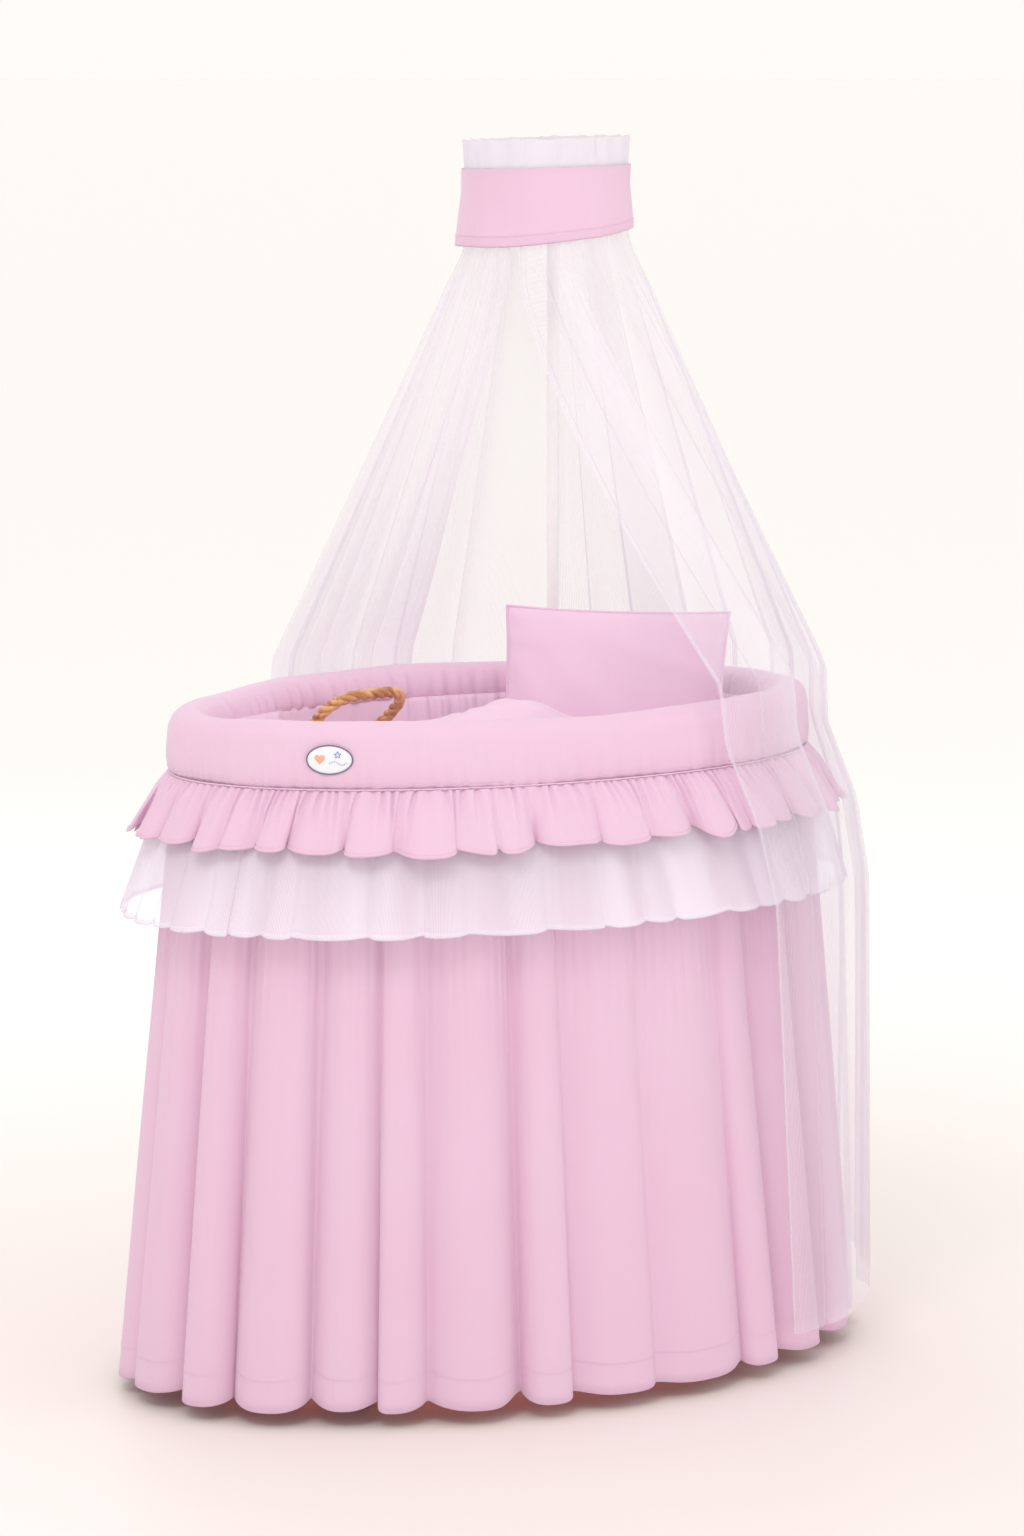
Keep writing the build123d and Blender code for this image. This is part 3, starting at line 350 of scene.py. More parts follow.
def stitch_tree():
    """Short thread stitches spaced along the given lines, each turned a little."""
    tree, start, end, ids = new_tree("Stitches", [
        ("Spacing", "NodeSocketFloat", 0.006),
        ("Length", "NodeSocketFloat", 0.004),
        ("Radius", "NodeSocketFloat", 0.0004),
        ("Unevenness", "NodeSocketFloat", 0.08),
        ("Seed", "NodeSocketInt", 3),
        ("Finish", "NodeSocketMaterial", None),
    ])
    node, wire = wiring(tree)
    to_curve = node("GeometryNodeMeshToCurve")
    points = node("GeometryNodeCurveToPoints")
    points.mode = "LENGTH"
    align = node("FunctionNodeAlignRotationToVector")
    align.axis = "Z"
    turn = node("FunctionNodeRandomValue")
    turn.data_type = "FLOAT_VECTOR"
    opposite = node("ShaderNodeVectorMath")
    opposite.operation = "SCALE"
    opposite.inputs["Scale"].default_value = -1.0
    around = node("FunctionNodeRotateRotation")
    to_rotation = node("FunctionNodeEulerToRotation")
    thread = node("GeometryNodeMeshCylinder")
    thread.inputs["Vertices"].default_value = 6
    place = node("GeometryNodeInstanceOnPoints")
    real = node("GeometryNodeRealizeInstances")
    finish = node("GeometryNodeSetMaterial")
    wire(start, "Lines", to_curve, "Mesh")
    wire(to_curve, "Curve", points, "Curve")
    wire(start, "Spacing", points, "Length")
    wire(points, "Tangent", align, "Vector")
    wire(start, "Unevenness", turn, "Max")
    wire(start, "Unevenness", opposite, 0)
    wire(opposite, "Vector", turn, "Min")
    wire(start, "Seed", turn, "Seed")
    wire(turn, "Value", to_rotation, "Euler")
    wire(align, "Rotation", around, "Rotation")
    wire(to_rotation, "Rotation", around, "Rotate By")
    wire(start, "Length", thread, "Depth")
    wire(start, "Radius", thread, "Radius")
    wire(points, "Points", place, "Points")
    wire(thread, "Mesh", place, "Instance")
    wire(around, "Rotation", place, "Rotation")
    wire(place, "Instances", real, "Geometry")
    wire(real, "Geometry", finish, "Geometry")
    wire(start, "Finish", finish, "Material")
    wire(finish, "Geometry", end, "Geometry")
    return tree, ids


def grow(name, lines, tree_and_ids, values, closed=False):
    """Runs a node tree over lines and keeps the result as a plain mesh."""
    tree, ids = tree_and_ids
    source = lines_object(name + "_lines", lines, closed)
    modifier = source.modifiers.new("grow", "NODES")
    modifier.node_group = tree
    for label, value in values.items():
        modifier[ids[label]] = value
    bpy.context.view_layer.update()
    ready = source.evaluated_get(bpy.context.evaluated_depsgraph_get())
    mesh = bpy.data.meshes.new_from_object(ready)
    mesh.name = name
    source.modifiers.remove(modifier)
    bpy.data.objects.remove(source)
    if not len(mesh.polygons):
        raise RuntimeError(f"{name} came out empty")
    if not mesh.materials:
        mesh.materials.append(values["Finish"])
    return link(bpy.data.objects.new(name, mesh))


# ---- shader groups ---------------------------------------------------------
def shader_group(name, inputs, outputs):
    """An empty shader group with its sockets."""
    group = bpy.data.node_groups.new(name, "ShaderNodeTree")
    for label, kind, value in inputs:
        socket = group.interface.new_socket(label, in_out="INPUT", socket_type=kind)
        if value is not None:
            socket.default_value = value
    for label, kind in outputs:
        group.interface.new_socket(label, in_out="OUTPUT", socket_type=kind)
    start = group.nodes.new("NodeGroupInput")
    end = group.nodes.new("NodeGroupOutput")
    return group, start, end


def math_node(tree, operation, a, b=None, clamp=False):
    """One sum on numbers or sockets."""
    node = tree.nodes.new("ShaderNodeMath")
    node.operation = operation
    node.use_clamp = clamp
    for socket, value in zip(node.inputs, (a, b)):
        if value is None:
            continue
        if isinstance(value, (int, float)):
            socket.default_value = value
        else:
            tree.links.new(value, socket)
    return node.outputs[0]


def mix_colour(tree, factor, a, b):
    """Colour between two others."""
    node = tree.nodes.new("ShaderNodeMix")
    node.data_type = "RGBA"
    for socket, value in ((node.inputs[0], factor), (node.inputs[6], a), (node.inputs[7], b)):
        if isinstance(value, (int, float)):
            socket.default_value = value
        elif isinstance(value, tuple):
            socket.default_value = (*value[:3], 1)
        else:
            tree.links.new(value, socket)
    return node.outputs[2]


def ramp(tree, value, low, high):
    """Soft step from 0 at the low value to 1 at the high one."""
    node = tree.nodes.new("ShaderNodeMapRange")
    node.interpolation_type = "SMOOTHSTEP"
    node.inputs["From Min"].default_value = low
    node.inputs["From Max"].default_value = high
    tree.links.new(value, node.inputs["Value"])
    return node.outputs["Result"]


def weave_group():
    """Plain weave on a map in metres: thread height, gaps and a slight thread tone."""
    group, start, end = shader_group("Plain weave", [
        ("Map", "NodeSocketVector", None),
        ("Threads per metre", "NodeSocketFloat", 1800.0),
    ], [("Height", "NodeSocketFloat"), ("Gap", "NodeSocketFloat"), ("Tone", "NodeSocketFloat")])
    split = group.nodes.new("ShaderNodeSeparateXYZ")
    group.links.new(start.outputs["Map"], split.inputs[0])
    pitch = math_node(group, "MULTIPLY", start.outputs["Threads per metre"], math.pi)
    along_u = math_node(group, "MULTIPLY", split.outputs[0], pitch)
    along_v = math_node(group, "MULTIPLY", split.outputs[1], pitch)
    warp = math_node(group, "ABSOLUTE", math_node(group, "SINE", along_u))
    weft = math_node(group, "ABSOLUTE", math_node(group, "SINE", along_v))
    over = math_node(group, "MULTIPLY", math_node(group, "COSINE", along_u),
                     math_node(group, "COSINE", along_v))
    height = math_node(group, "ADD", math_node(group, "MULTIPLY", warp, weft),
                       math_node(group, "MULTIPLY", over, 0.35))
    group.links.new(height, end.inputs["Height"])
    group.links.new(ramp(group, math_node(group, "MINIMUM", warp, weft), 0.1, 0.6),
                    end.inputs["Gap"])
    noise = group.nodes.new("ShaderNodeTexNoise")
    noise.inputs["Scale"].default_value = 260.0
    noise.inputs["Detail"].default_value = 2.0
    group.links.new(start.outputs["Map"], noise.inputs["Vector"])
    group.links.new(noise.outputs["Fac"], end.inputs["Tone"])
    return group


def crumple_group():
    """Soft creases and tone variation of washed cloth, from object coordinates."""
    group, start, end = shader_group("Soft creases", [
        ("Place", "NodeSocketVector", None),
        ("Scale", "NodeSocketFloat", 18.0),
    ], [("Height", "NodeSocketFloat"), ("Tone", "NodeSocketFloat")])
    noise = group.nodes.new("ShaderNodeTexNoise")
    noise.inputs["Detail"].default_value = 5.0
    noise.inputs["Roughness"].default_value = 0.55
    noise.inputs["Distortion"].default_value = 0.6
    group.links.new(start.outputs["Place"], noise.inputs["Vector"])
    group.links.new(start.outputs["Scale"], noise.inputs["Scale"])
    group.links.new(noise.outputs["Fac"], end.inputs["Height"])
    broad = group.nodes.new("ShaderNodeTexNoise")
    broad.inputs["Detail"].default_value = 2.0
    group.links.new(start.outputs["Place"], broad.inputs["Vector"])
    group.links.new(math_node(group, "MULTIPLY", start.outputs["Scale"], 0.25),
                    broad.inputs["Scale"])
    group.links.new(broad.outputs["Fac"], end.inputs["Tone"])
    return group


def grain_group():
    """Long grain: light and dark streaks and a little relief."""
    group, start, end = shader_group("Grain", [
        ("Place", "NodeSocketVector", None),
        ("Stretch", "NodeSocketVector", (4.0, 60.0, 60.0)),
        ("Light", "NodeSocketColor", (0.8, 0.6, 0.4, 1)),
        ("Dark", "NodeSocketColor", (0.5, 0.3, 0.15, 1)),
    ], [("Colour", "NodeSocketColor"), ("Height", "NodeSocketFloat")])
    scale = group.nodes.new("ShaderNodeVectorMath")
    scale.operation = "MULTIPLY"
    group.links.new(start.outputs["Place"], scale.inputs[0])
    group.links.new(start.outputs["Stretch"], scale.inputs[1])
    noise = group.nodes.new("ShaderNodeTexNoise")
    noise.inputs["Scale"].default_value = 1.0
    noise.inputs["Detail"].default_value = 7.0
    noise.inputs["Distortion"].default_value = 1.2
    group.links.new(scale.outputs[0], noise.inputs["Vector"])
    streak = ramp(group, noise.outputs["Fac"], 0.35, 0.7)
    colour = mix_colour(group, streak, start.outputs["Light"], start.outputs["Dark"])
    group.links.new(colour, end.inputs["Colour"])
    group.links.new(noise.outputs["Fac"], end.inputs["Height"])
    return group


class Finishes:
    """All materials, built once."""

    def __init__(self, cloths, hard):
        self.weave = weave_group()
        self.crumple = crumple_group()
        self.grain = grain_group()
        pink, white, sheer = tuple(cloths.pink), tuple(cloths.white), tuple(cloths.voile)
        deep = tuple(c * s for c, s in zip(pink, (0.985, 0.87, 0.92)))
        self.pink = self.cotton("pink_cotton", pink, deep, 1500, 0.35)
        self.pink_rim = self.cotton("pink_rim", pink, deep, 1500, 0.30, crease=22)
        # painted light: a lighter copy of the pink cotton for the lining, the pillow and the duvet's
        # turned-back side, which sit in shade inside the basket and under the drape
        painted_light_pink = tuple(min(1.0, c * 1.17) for c in pink)
        self.pink_pad_painted_light = self.cotton("pink_padded_painted_light", painted_light_pink, pink, 1500, 0.35, crease=26)
        self.white = self.cotton("white_cotton", white, tuple(c * 0.96 for c in white), 1500, 0.3,
                                 crease=24)
        self.tulle = self.net("white_tulle", tuple(cloths.tulle), 0.50, 0.72, 900, 12.0)
        self.header = self.net("header_tulle", tuple(c * 0.92 for c in sheer), 0.66, 0.86, 900)
        self.voile = self.net("voile", sheer, cloths.voile_cover, cloths.voile_cover + 0.26, 1300)
        self.thread = self.cotton("pink_thread", tuple(c * 0.93 for c in pink), pink, 4000, 0.1)
        self.cane = self.streaked("cane", (0.74, 0.42, 0.18), (0.33, 0.13, 0.045), 0.38,
                                  (35, 35, 35), coat=0.25)
        self.handle_cane = self.streaked("handle_cane", (0.80, 0.46, 0.20), (0.42, 0.17, 0.06),
                                         0.35, (45, 45, 45), coat=0.3)
        wood, wood_dark = tuple(hard.wood), tuple(c * 0.72 for c in hard.wood)
        self.pine, self.pine_up, self.pine_cross = (
            self.streaked(name, wood, wood_dark, 0.5, stretch, coat=0.08)
            for name, stretch in (("pine", (3.5, 55, 55)), ("pine_upright", (55, 55, 3.5)),
                                  ("pine_cross", (55, 3.5, 55))))
        self.zinc = self.plain("zinc_steel", (0.66, 0.67, 0.70), 0.32, metallic=1.0, bumps=0.02)
        self.rubber = self.plain("tyre_rubber", (0.17, 0.17, 0.18), 0.75, bumps=0.10)
        self.hub = self.plain("wheel_plastic", (0.78, 0.78, 0.76), 0.42, bumps=0.03)
        self.black = self.plain("black_plastic", (0.035, 0.035, 0.04), 0.48, bumps=0.08)
        self.paint = self.plain("white_paint", (0.93, 0.93, 0.92), 0.38, bumps=0.06)
        self.patch = self.cotton("badge_cloth", (0.86, 0.87, 0.90), (0.80, 0.82, 0.86), 1800, 0.2)
        self.patch_edge = self.plain("badge_edge_thread", (0.20, 0.16, 0.26), 0.7, bumps=0.15)
        self.heart = self.cotton("badge_heart", (0.88, 0.48, 0.30), (0.80, 0.40, 0.26), 2200, 0.2)
        self.blue = self.plain("badge_blue_thread", (0.15, 0.28, 0.62), 0.7, bumps=0.12)

    def start(self, name):
        """A new material with its tree, shader and coordinates."""
        material = bpy.data.materials.new(name)
        material.use_nodes = True
        tree = material.node_tree
        places = tree.nodes.new("ShaderNodeTexCoord")
        return material, tree, tree.nodes["Principled BSDF"], places

    def use(self, tree, group, **values):
        """Adds a group to a material, with its sockets set or joined."""
        node = tree.nodes.new("ShaderNodeGroup")
        node.node_tree = group
        for label, value in values.items():
            socket = node.inputs[label.replace("_", " ")]
            if isinstance(value, tuple) and socket.type == "RGBA":
                socket.default_value = (*value, 1)
            elif isinstance(value, (float, tuple)):
                socket.default_value = value
            else:
                tree.links.new(value, socket)
        return node

    def bump(self, tree, shader, height, strength, distance):
        """Turns a height into the shader's normal."""
        bump = tree.nodes.new("ShaderNodeBump")
        bump.inputs["Strength"].default_value = strength
        bump.inputs["Distance"].default_value = distance
        tree.links.new(height, bump.inputs["Height"])
        tree.links.new(bump.outputs["Normal"], shader.inputs["Normal"])

    def cotton(self, name, colour, shade, threads, strength, crease=16):
        """Woven cotton: weave, soft creases, slight mottling and a soft sheen."""
        material, tree, shader, places = self.start(name)
        weave = self.use(tree, self.weave, Map=places.outputs["UV"],
                         Threads_per_metre=float(threads))
        crumple = self.use(tree, self.crumple, Place=places.outputs["Object"], Scale=float(crease))
        base = mix_colour(tree, crumple.outputs["Tone"], colour, shade)
        thread_tone = math_node(tree, "MULTIPLY", weave.outputs["Tone"], 0.22)
        base = mix_colour(tree, thread_tone, base, tuple(min(1.0, c * 1.04) for c in colour))
        tree.links.new(base, shader.inputs["Base Color"])
        height = math_node(tree, "ADD", math_node(tree, "MULTIPLY", weave.outputs["Height"], 0.12),
                           crumple.outputs["Height"])
        self.bump(tree, shader, height, strength, 0.006)
        rough = math_node(tree, "ADD",
                          math_node(tree, "MULTIPLY", weave.outputs["Tone"], 0.12), 0.74)
        tree.links.new(rough, shader.inputs["Roughness"])
        shader.inputs["Specular IOR Level"].default_value = 0.25
        shader.inputs["Sheen Weight"].default_value = 0.30
        shader.inputs["Sheen Roughness"].default_value = 0.45
        return material

    def net(self, name, colour, cover_low, cover_high, threads, streaks=13.0):
        """Sheer cloth: threads over open gaps, a little denser in places."""
        material, tree, shader, places = self.start(name)
        weave = self.use(tree, self.weave, Map=places.outputs["UV"],
                         Threads_per_metre=float(threads))
        crumple = self.use(tree, self.crumple, Place=places.outputs["Object"], Scale=14.0)
        base = mix_colour(tree, crumple.outputs["Tone"], colour, tuple(c * 0.97 for c in colour))
        tree.links.new(base, shader.inputs["Base Color"])
        stretch = tree.nodes.new("ShaderNodeMapping")
        stretch.inputs["Scale"].default_value = (streaks, 0.22, 1.0)
        tree.links.new(places.outputs["UV"], stretch.inputs["Vector"])
        density = tree.nodes.new("ShaderNodeTexNoise")
        density.inputs["Scale"].default_value = 1.0
        density.inputs["Detail"].default_value = 2.0
        tree.links.new(stretch.outputs["Vector"], density.inputs["Vector"])
        streak = ramp(tree, density.outputs["Fac"], 0.36, 0.70)
        closed = math_node(tree, "SUBTRACT", 1.0, weave.outputs["Gap"])
        cover = math_node(tree, "MULTIPLY", closed, 0.30)
        cover = math_node(tree, "ADD", cover, math_node(
            tree, "MULTIPLY", streak, cover_high - cover_low))
        cover = math_node(tree, "ADD", cover, cover_low - 0.08, clamp=True)
        tree.links.new(cover, shader.inputs["Alpha"])
        self.bump(tree, shader, crumple.outputs["Height"], 0.04, 0.003)
        shader.inputs["Roughness"].default_value = 0.8
        shader.inputs["Specular IOR Level"].default_value = 0.2
        shader.inputs["Sheen Weight"].default_value = 0.35
        shader.inputs["Sheen Roughness"].default_value = 0.4
        return material

    def streaked(self, name, light, dark, rough, stretch, coat=0.0):
        """Wood or cane with long grain."""
        material, tree, shader, places = self.start(name)
        grain = self.use(tree, self.grain, Place=places.outputs["Object"],
                         Stretch=tuple(map(float, stretch)), Light=light, Dark=dark)
        tree.links.new(grain.outputs["Colour"], shader.inputs["Base Color"])
        self.bump(tree, shader, grain.outputs["Height"], 0.2, 0.002)
        tree.links.new(math_node(tree, "ADD", math_node(
            tree, "MULTIPLY", grain.outputs["Height"], 0.25), rough - 0.12),
            shader.inputs["Roughness"])
        shader.inputs["Coat Weight"].default_value = coat
        shader.inputs["Coat Roughness"].default_value = 0.25
        return material

    def plain(self, name, colour, rough, metallic=0.0, bumps=0.05):
        """Paint, metal, plastic or rubber with fine surface grain and faint handling marks."""
        material, tree, shader, places = self.start(name)
        crumple = self.use(tree, self.crumple, Place=places.outputs["Object"], Scale=220.0)
        base = mix_colour(tree, crumple.outputs["Tone"], colour, tuple(c * 0.93 for c in colour))
        tree.links.new(base, shader.inputs["Base Color"])
        tree.links.new(math_node(tree, "ADD", math_node(
            tree, "MULTIPLY", crumple.outputs["Tone"], 0.16), rough - 0.08),
            shader.inputs["Roughness"])
        self.bump(tree, shader, crumple.outputs["Height"], bumps, 0.001)
        shader.inputs["Metallic"].default_value = metallic
        return material


KIT = {}    # materials and node trees, made once


def finishes():
    """The materials; the first call also makes the node trees."""
    if "finishes" not in KIT:
        scene = bpy.context.scene
        KIT["finishes"] = Finishes(scene.crib_cloths, scene.crib_hard_parts)
        KIT["strands"] = strand_tree()
        KIT["stitches"] = stitch_tree()
    return KIT["finishes"]


def strands(name, lines, radius, material, sides=6, closed=False):
    """Round strands along lines, as one mesh."""
    return grow(name, lines, KIT["strands"],
                {"Radius": radius, "Sides": sides, "Finish": material}, closed)


def stitches(name, lines, spacing, length, radius, material, closed=False):
    """A row of thread stitches along each line, as one mesh."""
    return grow(name, lines, KIT["stitches"],
                {"Spacing": spacing, "Length": length, "Radius": radius, "Seed": 3,
                 "Finish": material}, closed)


def belong(obj, body, slot, *nodes):
    """Rides a body and hides the CAD nodes it stands for; its finish slot is not used."""
    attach(obj, body)
    if nodes:
        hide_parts(*nodes)
    return obj


# ---- stand, castors and pole -----------------------------------------------
def finish_hard_parts():
    """Gives each hard CAD node the material of its family of parts."""
    done = finishes()
    families = (
        (done.pine_up, ("leg_",)),
        (done.pine, ("side_rail", "stretcher")),
        (done.pine_cross, ("end_rail", "shelf_slats", "cradle_slats", "basket_stops")),
        (done.zinc, ("frame_bolts", "slat_screws", "castor_")),
        (done.rubber, ("tyre",)),
        (done.hub, ("wheel_hub",)),
        (done.black, ("brake_lever", "clamp_knob")),
        (done.paint, ("pole_bracket", "canopy_pole", "canopy_ring")),
        (done.cane, ("handle_loops",)),
    )
    for name, node in NODES.items():
        for material, starts in families:
            if name.startswith(starts):
                node.data.materials.clear()
                node.data.materials.append(material)


# ---- woven basket ----------------------------------------------------------
def wall_half(z):
    """Half sizes of the basket wall's outside at a height."""
    share = (z - floor_low[2]) / (WALL_TOP - floor_low[2])
    foot_a, foot_b = WALL_A - WALL_TAPER_A, WALL_B - WALL_TAPER_B
    return foot_a + WALL_TAPER_A * share, foot_b + WALL_TAPER_B * share


def weave_basket(woven):
    """Stakes, rounds of weaving, a three-strand border and the basket's floor."""
    done = finishes()
    stakes = woven.stakes - woven.stakes % 2
    middle = BASKET_WALL / 2
    t = even_angles(WALL_A, WALL_B, stakes + 1)[:-1]
    lines = []
    for angle in t:
        line = []
        for z in (WALL_LOW - 0.004, WALL_TOP + 0.002):
            a, b = wall_half(z)
            point, _ = oval(a - middle, b - middle, np.array([angle]))
            line.append((*point[0], z))
        lines.append(line)
    posts = strands("wicker_stakes", lines, 0.0021, done.cane, sides=8)
    belong(posts, "basket", "wicker")
    per_stake = 4
    around = even_angles(WALL_A, WALL_B, stakes * per_stake + 1)[:-1]
    step = np.arange(stakes * per_stake) / per_stake
    rounds = []
    count = int((WALL_TOP - WALL_LOW) / woven.round_pitch)
    for row in range(count):
        z = WALL_LOW + (row + 0.5) * (WALL_TOP - WALL_LOW) / count
        a, b = wall_half(z)
        sway = 0.0021 * np.cos(math.pi * (step + row))
        point, out = oval(a - middle, b - middle, around)
        place = point + out * sway[:, None]
        rounds.append(np.column_stack([place, np.full(len(place), z)]))
    weavers = strands("wicker_weavers", rounds, 0.0033, done.cane, sides=6, closed=True)
    belong(weavers, "basket", "wicker", "wicker_wall")
    # three-strand border on top of the wall
    border_low, border_high = span("wicker_border")
    a, b = border_high[0] - 0.009, border_high[1] - 0.009
    mid_z = (border_low[2] + border_high[2]) / 2
    around = even_angles(a, b, 721)[:-1]
    point, out = oval(a, b, around)
    braid = []
    for strand in range(3):
        phase = np.arange(720) / 720 * TAU * 48 + strand * TAU / 3
        place = point + out * (0.0052 * np.sin(phase))[:, None]
        braid.append(np.column_stack([place, mid_z + 0.0045 * np.sin(2 * phase)]))
    border = strands("wicker_braid", braid, 0.0036, done.cane, sides=6, closed=True)
    belong(border, "basket", "wicker", "wicker_border")
    # floor: oval rounds over spokes
    mid_z = (floor_low[2] + floor_high[2]) / 2
    rounds = []
    inset = 0.004
    row = 0
    while FLOOR_B - inset > 0.012:
        a, b = FLOOR_A - inset, FLOOR_B - inset
        around = even_angles(a, b, 121)[:-1]
        point, _ = oval(a, b, around)
        wave = 0.0019 * np.cos(math.pi * (np.arange(120) / 4 + row))
        rounds.append(np.column_stack([point, mid_z + wave]))
        inset += 0.0066
        row += 1
    ovals = strands("wicker_floor_rounds", rounds, 0.0029, done.cane, sides=6, closed=True)
    belong(ovals, "basket", "wicker", "wicker_floor")
    spokes = []
    for x in np.linspace(-0.30, 0.30, 16):
        reach = FLOOR_B * math.sqrt(1 - (x / FLOOR_A) ** 2) - 0.004
        spokes.append([(x, -reach, mid_z), (x, reach, mid_z)])
    bars = strands("wicker_floor_bars", spokes, 0.0026, done.cane, sides=8)
    belong(bars, "basket", "wicker")


HANDLE_LEANS = {"near": 72, "far": 50}   # degrees inward from upright, at rest
HANDLE_HALF, HANDLE_REACH = 0.059, 0.082     # half span between the pins, height of the arch
HANDLE_CORNER = 0.45                         # bend radius as a share of the reach


def twist_handles(woven):
    """Three canes twisted round an arch, with its two pins."""
    done = finishes()
    half, reach = HANDLE_HALF, HANDLE_REACH
    corner = reach * HANDLE_CORNER
    for side, sign in (("near", -1), ("far", 1)):
        joint = JOINTS[f"handle_raise_{side}"]
        pivot = np.array(joint["pos_m"])
        along = np.array(joint["axis"]) / np.linalg.norm(joint["axis"])
        if along[0] < 0:
            along = -along
        inward = np.array([-along[1], along[0], 0.0]) * -sign
        lean = math.radians(HANDLE_LEANS[side])
        up = np.array([0, 0, 1]) * math.cos(lean) + inward * math.sin(lean)
        arch = [(-half, 0.0), (-half, reach - corner)]
        for k in range(1, 13):
            turn = math.pi / 2 * k / 12
            arch.append((-half + corner * (1 - math.cos(turn)),
                         reach - corner * (1 - math.sin(turn))))
        arch += [(-x, y) for x, y in reversed(arch)]
        arch = np.array(arch)
        steps = np.linalg.norm(np.diff(arch, axis=0), axis=1)
        run = np.concatenate([[0], np.cumsum(steps)])
        dense = np.linspace(0, run[-1], 150)
        x = np.interp(dense, run, arch[:, 0])
        y = np.interp(dense, run, arch[:, 1])
        centre = pivot + x[:, None] * along + y[:, None] * up
        tangent = np.gradient(centre, axis=0)
        tangent /= np.linalg.norm(tangent, axis=1, keepdims=True)
        side_way = np.cross(along, up)
        normal = np.cross(side_way, tangent)
        canes = []
        for strand in range(3):
            phase = dense / woven.twist_pitch * TAU + strand * TAU / 3
            offset = 0.0036 * (np.cos(phase)[:, None] * normal + np.sin(phase)[:, None] * side_way)
            canes.append(centre + offset)
        for direction in (-1, 1):
            start = pivot + along * direction * (half - 0.004)
            end = pivot + along * direction * (half + 0.0155)
            canes.append([start, end])
        arch_body = strands(f"handle_twist_{side}", canes[:3], 0.0039, done.handle_cane, sides=10)
        belong(arch_body, f"handle_{side}", "wicker", f"handle_{side}")
        pins = strands(f"handle_pins_{side}", canes[3:], 0.0029, done.handle_cane, sides=10)
        belong(pins, f"handle_{side}", "wicker")
        wraps = []
        for direction in (-1, 1):
            base = pivot + along * direction * half
            coil = []
            for k in range(49):
                turn = k / 48 * TAU * 3
                place = base + up * (0.001 + 0.011 * k / 48)
                place = place + 0.0073 * (math.cos(turn) * along + math.sin(turn) * side_way)
                coil.append(place)
            wraps.append(coil)
        wrap = strands(f"handle_wraps_{side}", wraps, 0.0013, done.handle_cane, sides=6)
        belong(wrap, f"handle_{side}", "wicker")


# ---- rim, lining -----------------------------------------------------------
# (distance in from the rim's outside, height under the rim's top), round the closed padding
RIM_PROFILE = (
    (0.0105, 0.0790), (0.0040, 0.0795), (0.0005, 0.0740), (-0.0015, 0.0640), (-0.0020, 0.0500),
    (-0.0010, 0.0350), (0.0000, 0.0240), (0.0020, 0.0140), (0.0065, 0.0060), (0.0130, 0.0010),
    (0.0210, -0.0010), (0.0300, -0.0010), (0.0385, 0.0015), (0.0465, 0.0070), (0.0520, 0.0150),
    (0.0550, 0.0245), (0.0540, 0.0325), (0.0480, 0.0350), (0.0432, 0.0320), (0.0432, 0.0176),
    (0.0225, 0.0176), (0.0225, 0.0340), (0.0115, 0.0380), (0.0110, 0.0600),
)


def pad_rim():
    """The padded roll over the border with its piping and a stitched line."""
    done = finishes()
    rng = np.random.default_rng(11)
    cols = 900
    t = even_angles(RIM_A, RIM_B, cols + 1)[:-1]
    profile = np.array(RIM_PROFILE)
    # places evenly spaced along the profile
    closed = np.vstack([profile, profile[:1]])
    run = np.concatenate([[0], np.cumsum(np.linalg.norm(np.diff(closed, axis=0), axis=1))])
    dense = np.linspace(0, run[-1], 64, endpoint=False)
    inward = np.interp(dense, run, closed[:, 0])
    down = np.interp(dense, run, closed[:, 1])
    puckers = Folds(rng, spread_ridges(rng, -0.1, TAU + 0.1, 0.055, 0.45))
    height, _ = puckers.at(t)
    drift = ripple(rng, t, (3, 5, 8, 13))
    fine = ripple(rng, t, (61, 83, 97, 127))
    # the roll sits a little higher or lower in three places: (height, degrees, spread)
    settle = sum(rise * bump_at(t, place, spread)
                 for rise, place, spread in ((0.009, 92, 34), (-0.005, 165, 30), (-0.004, -92, 25)))
    rows = []
    for d, z in zip(inward, down):
        near_seam = smooth((z - 0.035) / 0.045) if d < 0.012 else 0.0
        near_lip = smooth((d - 0.035) / 0.02)
        soft = 0.0018 * drift + 0.0022 * near_seam * (height - 0.5) + 0.0022 * near_lip * fine
        soft = soft + 0.0003 * fine
        # the part of the padding round the woven border keeps its true shape
        buried = 1.0 if 0.0225 <= d <= 0.0435 and z > 0.015 else 0.0
        point, out = oval(RIM_A - d, RIM_B - d, t)
        place = point + out * (soft * (1 - buried))[:, None]
        level = RIM_TOP - z + (1 - buried) * 0.0014 * drift * (z < 0.03)
        level = level + settle * smooth(1 - z / 0.06)
        rows.append(np.column_stack([place, level]))
    points = np.array(rows)
    width, _ = lengths(points)
    uv = (np.linspace(0, width, cols + 1)[:-1], np.linspace(0, run[-1], 64, endpoint=False))
    rim = grid_object("rim_roll", points, uv, done.pink_rim, wrap=True, wrap_rows=True)
    close_ends(rim)
    rim.data.shade_smooth()
    belong(rim, "basket", "pink_cotton", "rim_cover")
    # piping over the seam and a stitched line above it
    seam, out = oval(RIM_A + 0.0005, RIM_B + 0.0005, even_angles(RIM_A, RIM_B, 481)[:-1])
    cord_line = np.column_stack([seam, np.full(len(seam), SEAM_Z + 0.0012)])
    piping = strands("rim_piping", [cord_line], 0.0010, done.pink, sides=8, closed=True)
    belong(piping, "basket", "pink_cotton")
    stitch_path, _ = oval(RIM_A + 0.0022, RIM_B + 0.0022, even_angles(RIM_A, RIM_B, 721)[:-1])
    line = np.column_stack([stitch_path, np.full(len(stitch_path), SEAM_Z + 0.0075)])
    seam_stitches = stitches("rim_seam_stitches", [line], 0.0042, 0.0028, THREAD, done.thread,
                             closed=True)
    belong(seam_stitches, "basket", "pink_cotton")


